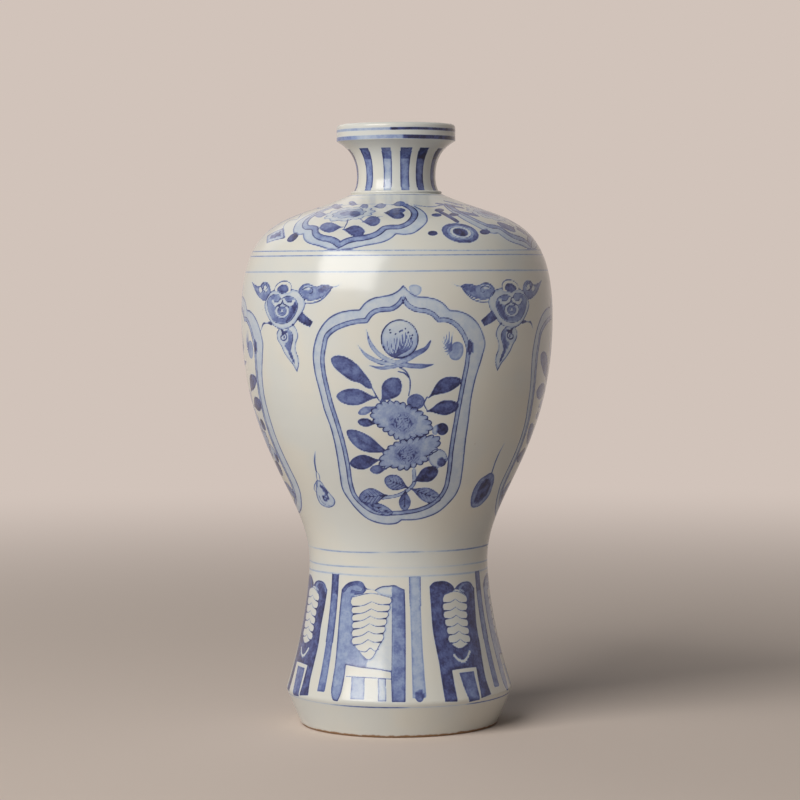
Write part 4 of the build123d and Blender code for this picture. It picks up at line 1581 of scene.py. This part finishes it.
# Glazed porcelain: thrown, painted in cobalt and dipped in clear glaze, which gives a soft pale green white
# with blurred blue lines, a few iron specks and a slightly wavy gloss
def makePorcelain(name, bareFoot=False):
    look = porcelain
    material = bpy.data.materials.new(name)
    material.use_nodes = True
    tree = material.node_tree
    tree.nodes.clear()
    objectCoords = addNode(tree, "TexCoord").outputs["Object"]
    inMm = addNode(tree, "Mapping", {"Vector": objectCoords, "Scale": (1 / mm, 1 / mm, 1 / mm)})
    grain = addNode(tree, "TexNoise", {"Vector": inMm, "Scale": 1 / look["grainSize"]})
    mottle = addNode(tree, "TexNoise", {
        "Vector": inMm, "Scale": 1 / look["mottleSize"], "Detail": 3.0, "Roughness": 0.6})
    clouds = addNode(tree, "TexNoise", {"Vector": inMm, "Scale": 1 / look["cloudSize"]})
    patchy = addNode(tree, "MapRange", {
        "Value": mottle, "From Min": 0.3, "From Max": 0.7, "To Min": 0.82, "To Max": 1.16,
    }, interpolation_type="SMOOTHSTEP")
    grainy = addNode(tree, "MapRange", {
        "Value": grain, "From Min": 0.3, "From Max": 0.75, "To Min": 0.94, "To Max": 1.08,
    }, interpolation_type="SMOOTHSTEP")
    uneven = addNode(tree, "Math", {0: patchy, 1: grainy}, operation="MULTIPLY")
    edges, strengths = {}, []
    # The edges of the marks wander and blur in the glaze
    for layer, noise in (("ink", grain), ("wash", mottle)):
        half, soft = look[layer + "Wander"] / 2, look[layer + "Softness"]
        wander = addNode(tree, "MapRange", {"Value": noise, "To Min": -half, "To Max": half})
        painted = addNode(tree, "Attribute", attribute_name=layer).outputs["Fac"]
        edges[layer] = addNode(tree, "Math", {0: painted, 1: wander}, operation="ADD")
        mask = addNode(tree, "MapRange", {"Value": edges[layer], "From Min": soft, "From Max": -soft},
                       interpolation_type="SMOOTHSTEP")
        tone = addNode(tree, "Attribute", attribute_name=layer + "Tone").outputs["Fac"]
        if layer == "wash":  # the wash pools and darkens towards its edge
            pooled = addNode(tree, "MapRange", {
                "Value": edges[layer], "From Min": -1.3, "From Max": -0.1, "To Max": 0.12,
            }, interpolation_type="SMOOTHSTEP")
            tone = addNode(tree, "Math", {0: tone, 1: pooled}, operation="ADD")
        shown = addNode(tree, "Math", {0: tone, 1: mask}, operation="MULTIPLY")
        strengths.append(addNode(tree, "Math", {0: shown, 1: uneven}, operation="MULTIPLY"))
    halo = addNode(tree, "MapRange", {
        "Value": edges["ink"], "From Min": 1.5, "From Max": 0.0, "To Max": 0.05,
    }, interpolation_type="SMOOTHSTEP")
    darker = addNode(tree, "Math", {0: strengths[0], 1: strengths[1]}, operation="MAXIMUM")
    strength = addNode(tree, "Math", {0: darker, 1: halo}, operation="MAXIMUM")
    cobalt = addNode(tree, "ValToRGB", {"Fac": strength})
    stops = cobalt.color_ramp.elements
    for i, (position, colour) in enumerate(look["cobalt"]):
        stop = stops[i] if i < 2 else stops.new(position)
        stop.position, stop.color = position, hexColour(colour)
    cloudy = addNode(tree, "MapRange", {"Value": clouds, "From Min": 0.35, "From Max": 0.65},
                     interpolation_type="SMOOTHSTEP")
    glazeTone = addNode(tree, "MixRGB", {"Fac": cloudy, "Color1": hexColour(look["glazeCool"]),
                                         "Color2": hexColour(look["glazeWarm"])})
    unpainted = addNode(tree, "MapRange", {
        "Value": strength, "From Max": 0.2, "To Min": 0.55, "To Max": 0.0,
    }, interpolation_type="SMOOTHSTEP")
    tinted = addNode(tree, "MixRGB", {"Fac": unpainted, "Color1": cobalt, "Color2": glazeTone})
    cells = addNode(tree, "TexVoronoi", {"Vector": inMm, "Scale": 1 / look["speckSpacing"]})
    lot = addNode(tree, "SeparateColor", {"Color": cells.outputs["Color"]})
    chosen = addNode(tree, "MapRange", {"Value": lot, "From Min": 0.78, "From Max": 0.8, "To Max": 0.6})
    near = addNode(tree, "MapRange", {
        "Value": cells.outputs["Distance"], "From Min": 0.035, "From Max": 0.015})
    speck = addNode(tree, "Math", {0: near, 1: chosen}, operation="MULTIPLY")
    colour = addNode(tree, "MixRGB", {"Fac": speck, "Color1": tinted, "Color2": hexColour(look["speck"])})
    roughness = addNode(tree, "MapRange", {
        "Value": mottle, "From Min": 0.2, "From Max": 0.8, "To Min": look["roughness"] - 0.03,
        "To Max": look["roughness"] + 0.04})
    rise = addNode(tree, "SeparateXYZ", {"Vector": inMm}).outputs["Z"]
    if bareFoot:  # the foot was wiped clean of glaze before firing, and shows the browned clay
        ragged = addNode(tree, "MapRange", {"Value": mottle, "To Min": -0.8, "To Max": 0.8})
        edge = addNode(tree, "Math", {0: rise, 1: ragged}, operation="ADD")
        bare = addNode(tree, "MapRange", {
            "Value": edge, "From Min": look["bareHeight"], "From Max": look["bareHeight"] - 0.6})
        clay = hexColour(look["bareClay"])
        colour = addNode(tree, "MixRGB", {"Fac": bare, "Color1": colour, "Color2": clay})
        roughness = addNode(tree, "MapRange", {
            "Value": bare, "To Min": look["roughness"], "To Max": look["bareRoughness"]})
    peelNoise = addNode(tree, "TexNoise", {"Vector": inMm, "Scale": 1 / look["orangePeel"], "Detail": 1.0})
    peel = addNode(tree, "Bump", {"Height": peelNoise, "Strength": 0.35, "Distance": 0.02 * mm})
    ridges = addNode(tree, "TexNoise", {"W": rise, "Scale": 1 / look["throwingRise"], "Detail": 1.0},
                     noise_dimensions="1D")
    thrown = addNode(tree, "Math", {0: ridges, 1: look["throwingShare"]}, operation="MULTIPLY")
    waves = addNode(tree, "Math", {0: thrown, 1: clouds}, operation="ADD")
    wave = addNode(tree, "Bump", {"Height": waves, "Strength": 0.6, "Distance": 0.77 * mm, "Normal": peel})
    shader = addNode(tree, "BsdfPrincipled", {
        "Base Color": colour, "Roughness": roughness, "IOR": look["ior"], "Normal": wave})
    addNode(tree, "OutputMaterial", {"Surface": shader})
    return material


paintedPorcelain = makePorcelain("painted_porcelain_under_clear_glaze")
footPorcelain = makePorcelain("porcelain_with_bare_foot", bareFoot=True)
slipUnderGlaze = makePorcelain("slip_under_clear_glaze")
print("materials made")

for node, piece in pieces.items():
    slipRing = node.endswith("luting")
    piece.data.materials.append(
        footPorcelain if node == "base_disc" else slipUnderGlaze if slipRing else paintedPorcelain)
    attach(piece, "root")
    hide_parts(node)


# Studio: a wide plain floor that fades into the backdrop on all sides, and soft light from the front left
studio = {
    "floorRadius": 9.0, "floorSides": 96, "floor": "#d9cbc1",
    "backdrop": "#d1c3ba", "fadeFrom": 0.25, "fadeTo": 1.5,
    "ambient": "#e9ecf0", "ambientStrength": 0.11, "lampAim": (0, 0, 0.15),
    "key": {"place": (-1.38, -1.7, 1.5), "size": (2.0, 1.6), "power": 65.0, "colour": "#fffcf7"},
    "back": {"place": (-1.2, 2.4, 2.4), "size": (3.0, 2.4), "power": 12.0, "colour": "#fffdfa"},
}


# What the camera, glossy and transmission rays see of the backdrop: nothing of it lights the pot
def addSeen(tree):
    path = addNode(tree, "LightPath").outputs
    seen = addNode(tree, "Math", {0: path["Is Camera Ray"], 1: path["Is Glossy Ray"]}, operation="ADD")
    return addNode(tree, "Math", {0: seen, 1: path["Is Transmission Ray"]}, operation="ADD", use_clamp=True)


def makeFloor():
    look = studio
    bm = bmesh.new()
    bmesh.ops.create_circle(bm, cap_ends=True, segments=look["floorSides"], radius=look["floorRadius"])
    mesh = bpy.data.meshes.new("floor")
    bm.to_mesh(mesh)
    bm.free()
    floor = bpy.data.objects.new("floor", mesh)
    bpy.context.scene.collection.objects.link(floor)
    material = bpy.data.materials.new("matt_paper_floor")
    material.use_nodes = True
    tree = material.node_tree
    tree.nodes.clear()
    away = addNode(tree, "VectorMath", {0: addNode(tree, "TexCoord").outputs["Object"]}, operation="LENGTH")
    fade = addNode(tree, "MapRange", {"Value": away.outputs["Value"], "From Min": look["fadeFrom"],
                                      "From Max": look["fadeTo"]}, interpolation_type="SMOOTHSTEP")
    share = addNode(tree, "Math", {0: fade, 1: addSeen(tree)}, operation="MULTIPLY")
    paper = addNode(tree, "BsdfDiffuse", {"Color": hexColour(look["floor"])})
    backdrop = addNode(tree, "Emission", {"Color": hexColour(look["backdrop"]), "Strength": 1.0})
    mixed = addNode(tree, "MixShader", {"Fac": share, 1: paper, 2: backdrop})
    addNode(tree, "OutputMaterial", {"Surface": mixed})
    mesh.materials.append(material)


def makeWorld():
    look = studio
    world = bpy.data.worlds.new("studio")
    bpy.context.scene.world = world
    world.use_nodes = True
    tree = world.node_tree
    tree.nodes.clear()
    ambient = addNode(tree, "Background", {
        "Color": hexColour(look["ambient"]), "Strength": look["ambientStrength"]})
    backdrop = addNode(tree, "Background", {"Color": hexColour(look["backdrop"]), "Strength": 1.0})
    mixed = addNode(tree, "MixShader", {"Fac": addSeen(tree), 1: ambient, 2: backdrop})
    addNode(tree, "OutputWorld", {"Surface": mixed})


def makeLamp(name):
    look = studio[name]
    data = bpy.data.lights.new(name, "AREA")
    data.shape, data.size, data.size_y = "RECTANGLE", *look["size"]
    data.energy, data.color = look["power"], hexColour(look["colour"])[:3]
    lamp = bpy.data.objects.new(name, data)
    aim = Vector(studio["lampAim"]) - Vector(look["place"])
    lamp.rotation_euler = aim.to_track_quat("-Z", "Y").to_euler()
    lamp.location = look["place"]
    bpy.context.scene.collection.objects.link(lamp)


makeFloor()
makeWorld()
makeLamp("key")
makeLamp("back")
bpy.context.scene.view_settings.view_transform = "Standard"
print("studio lit")
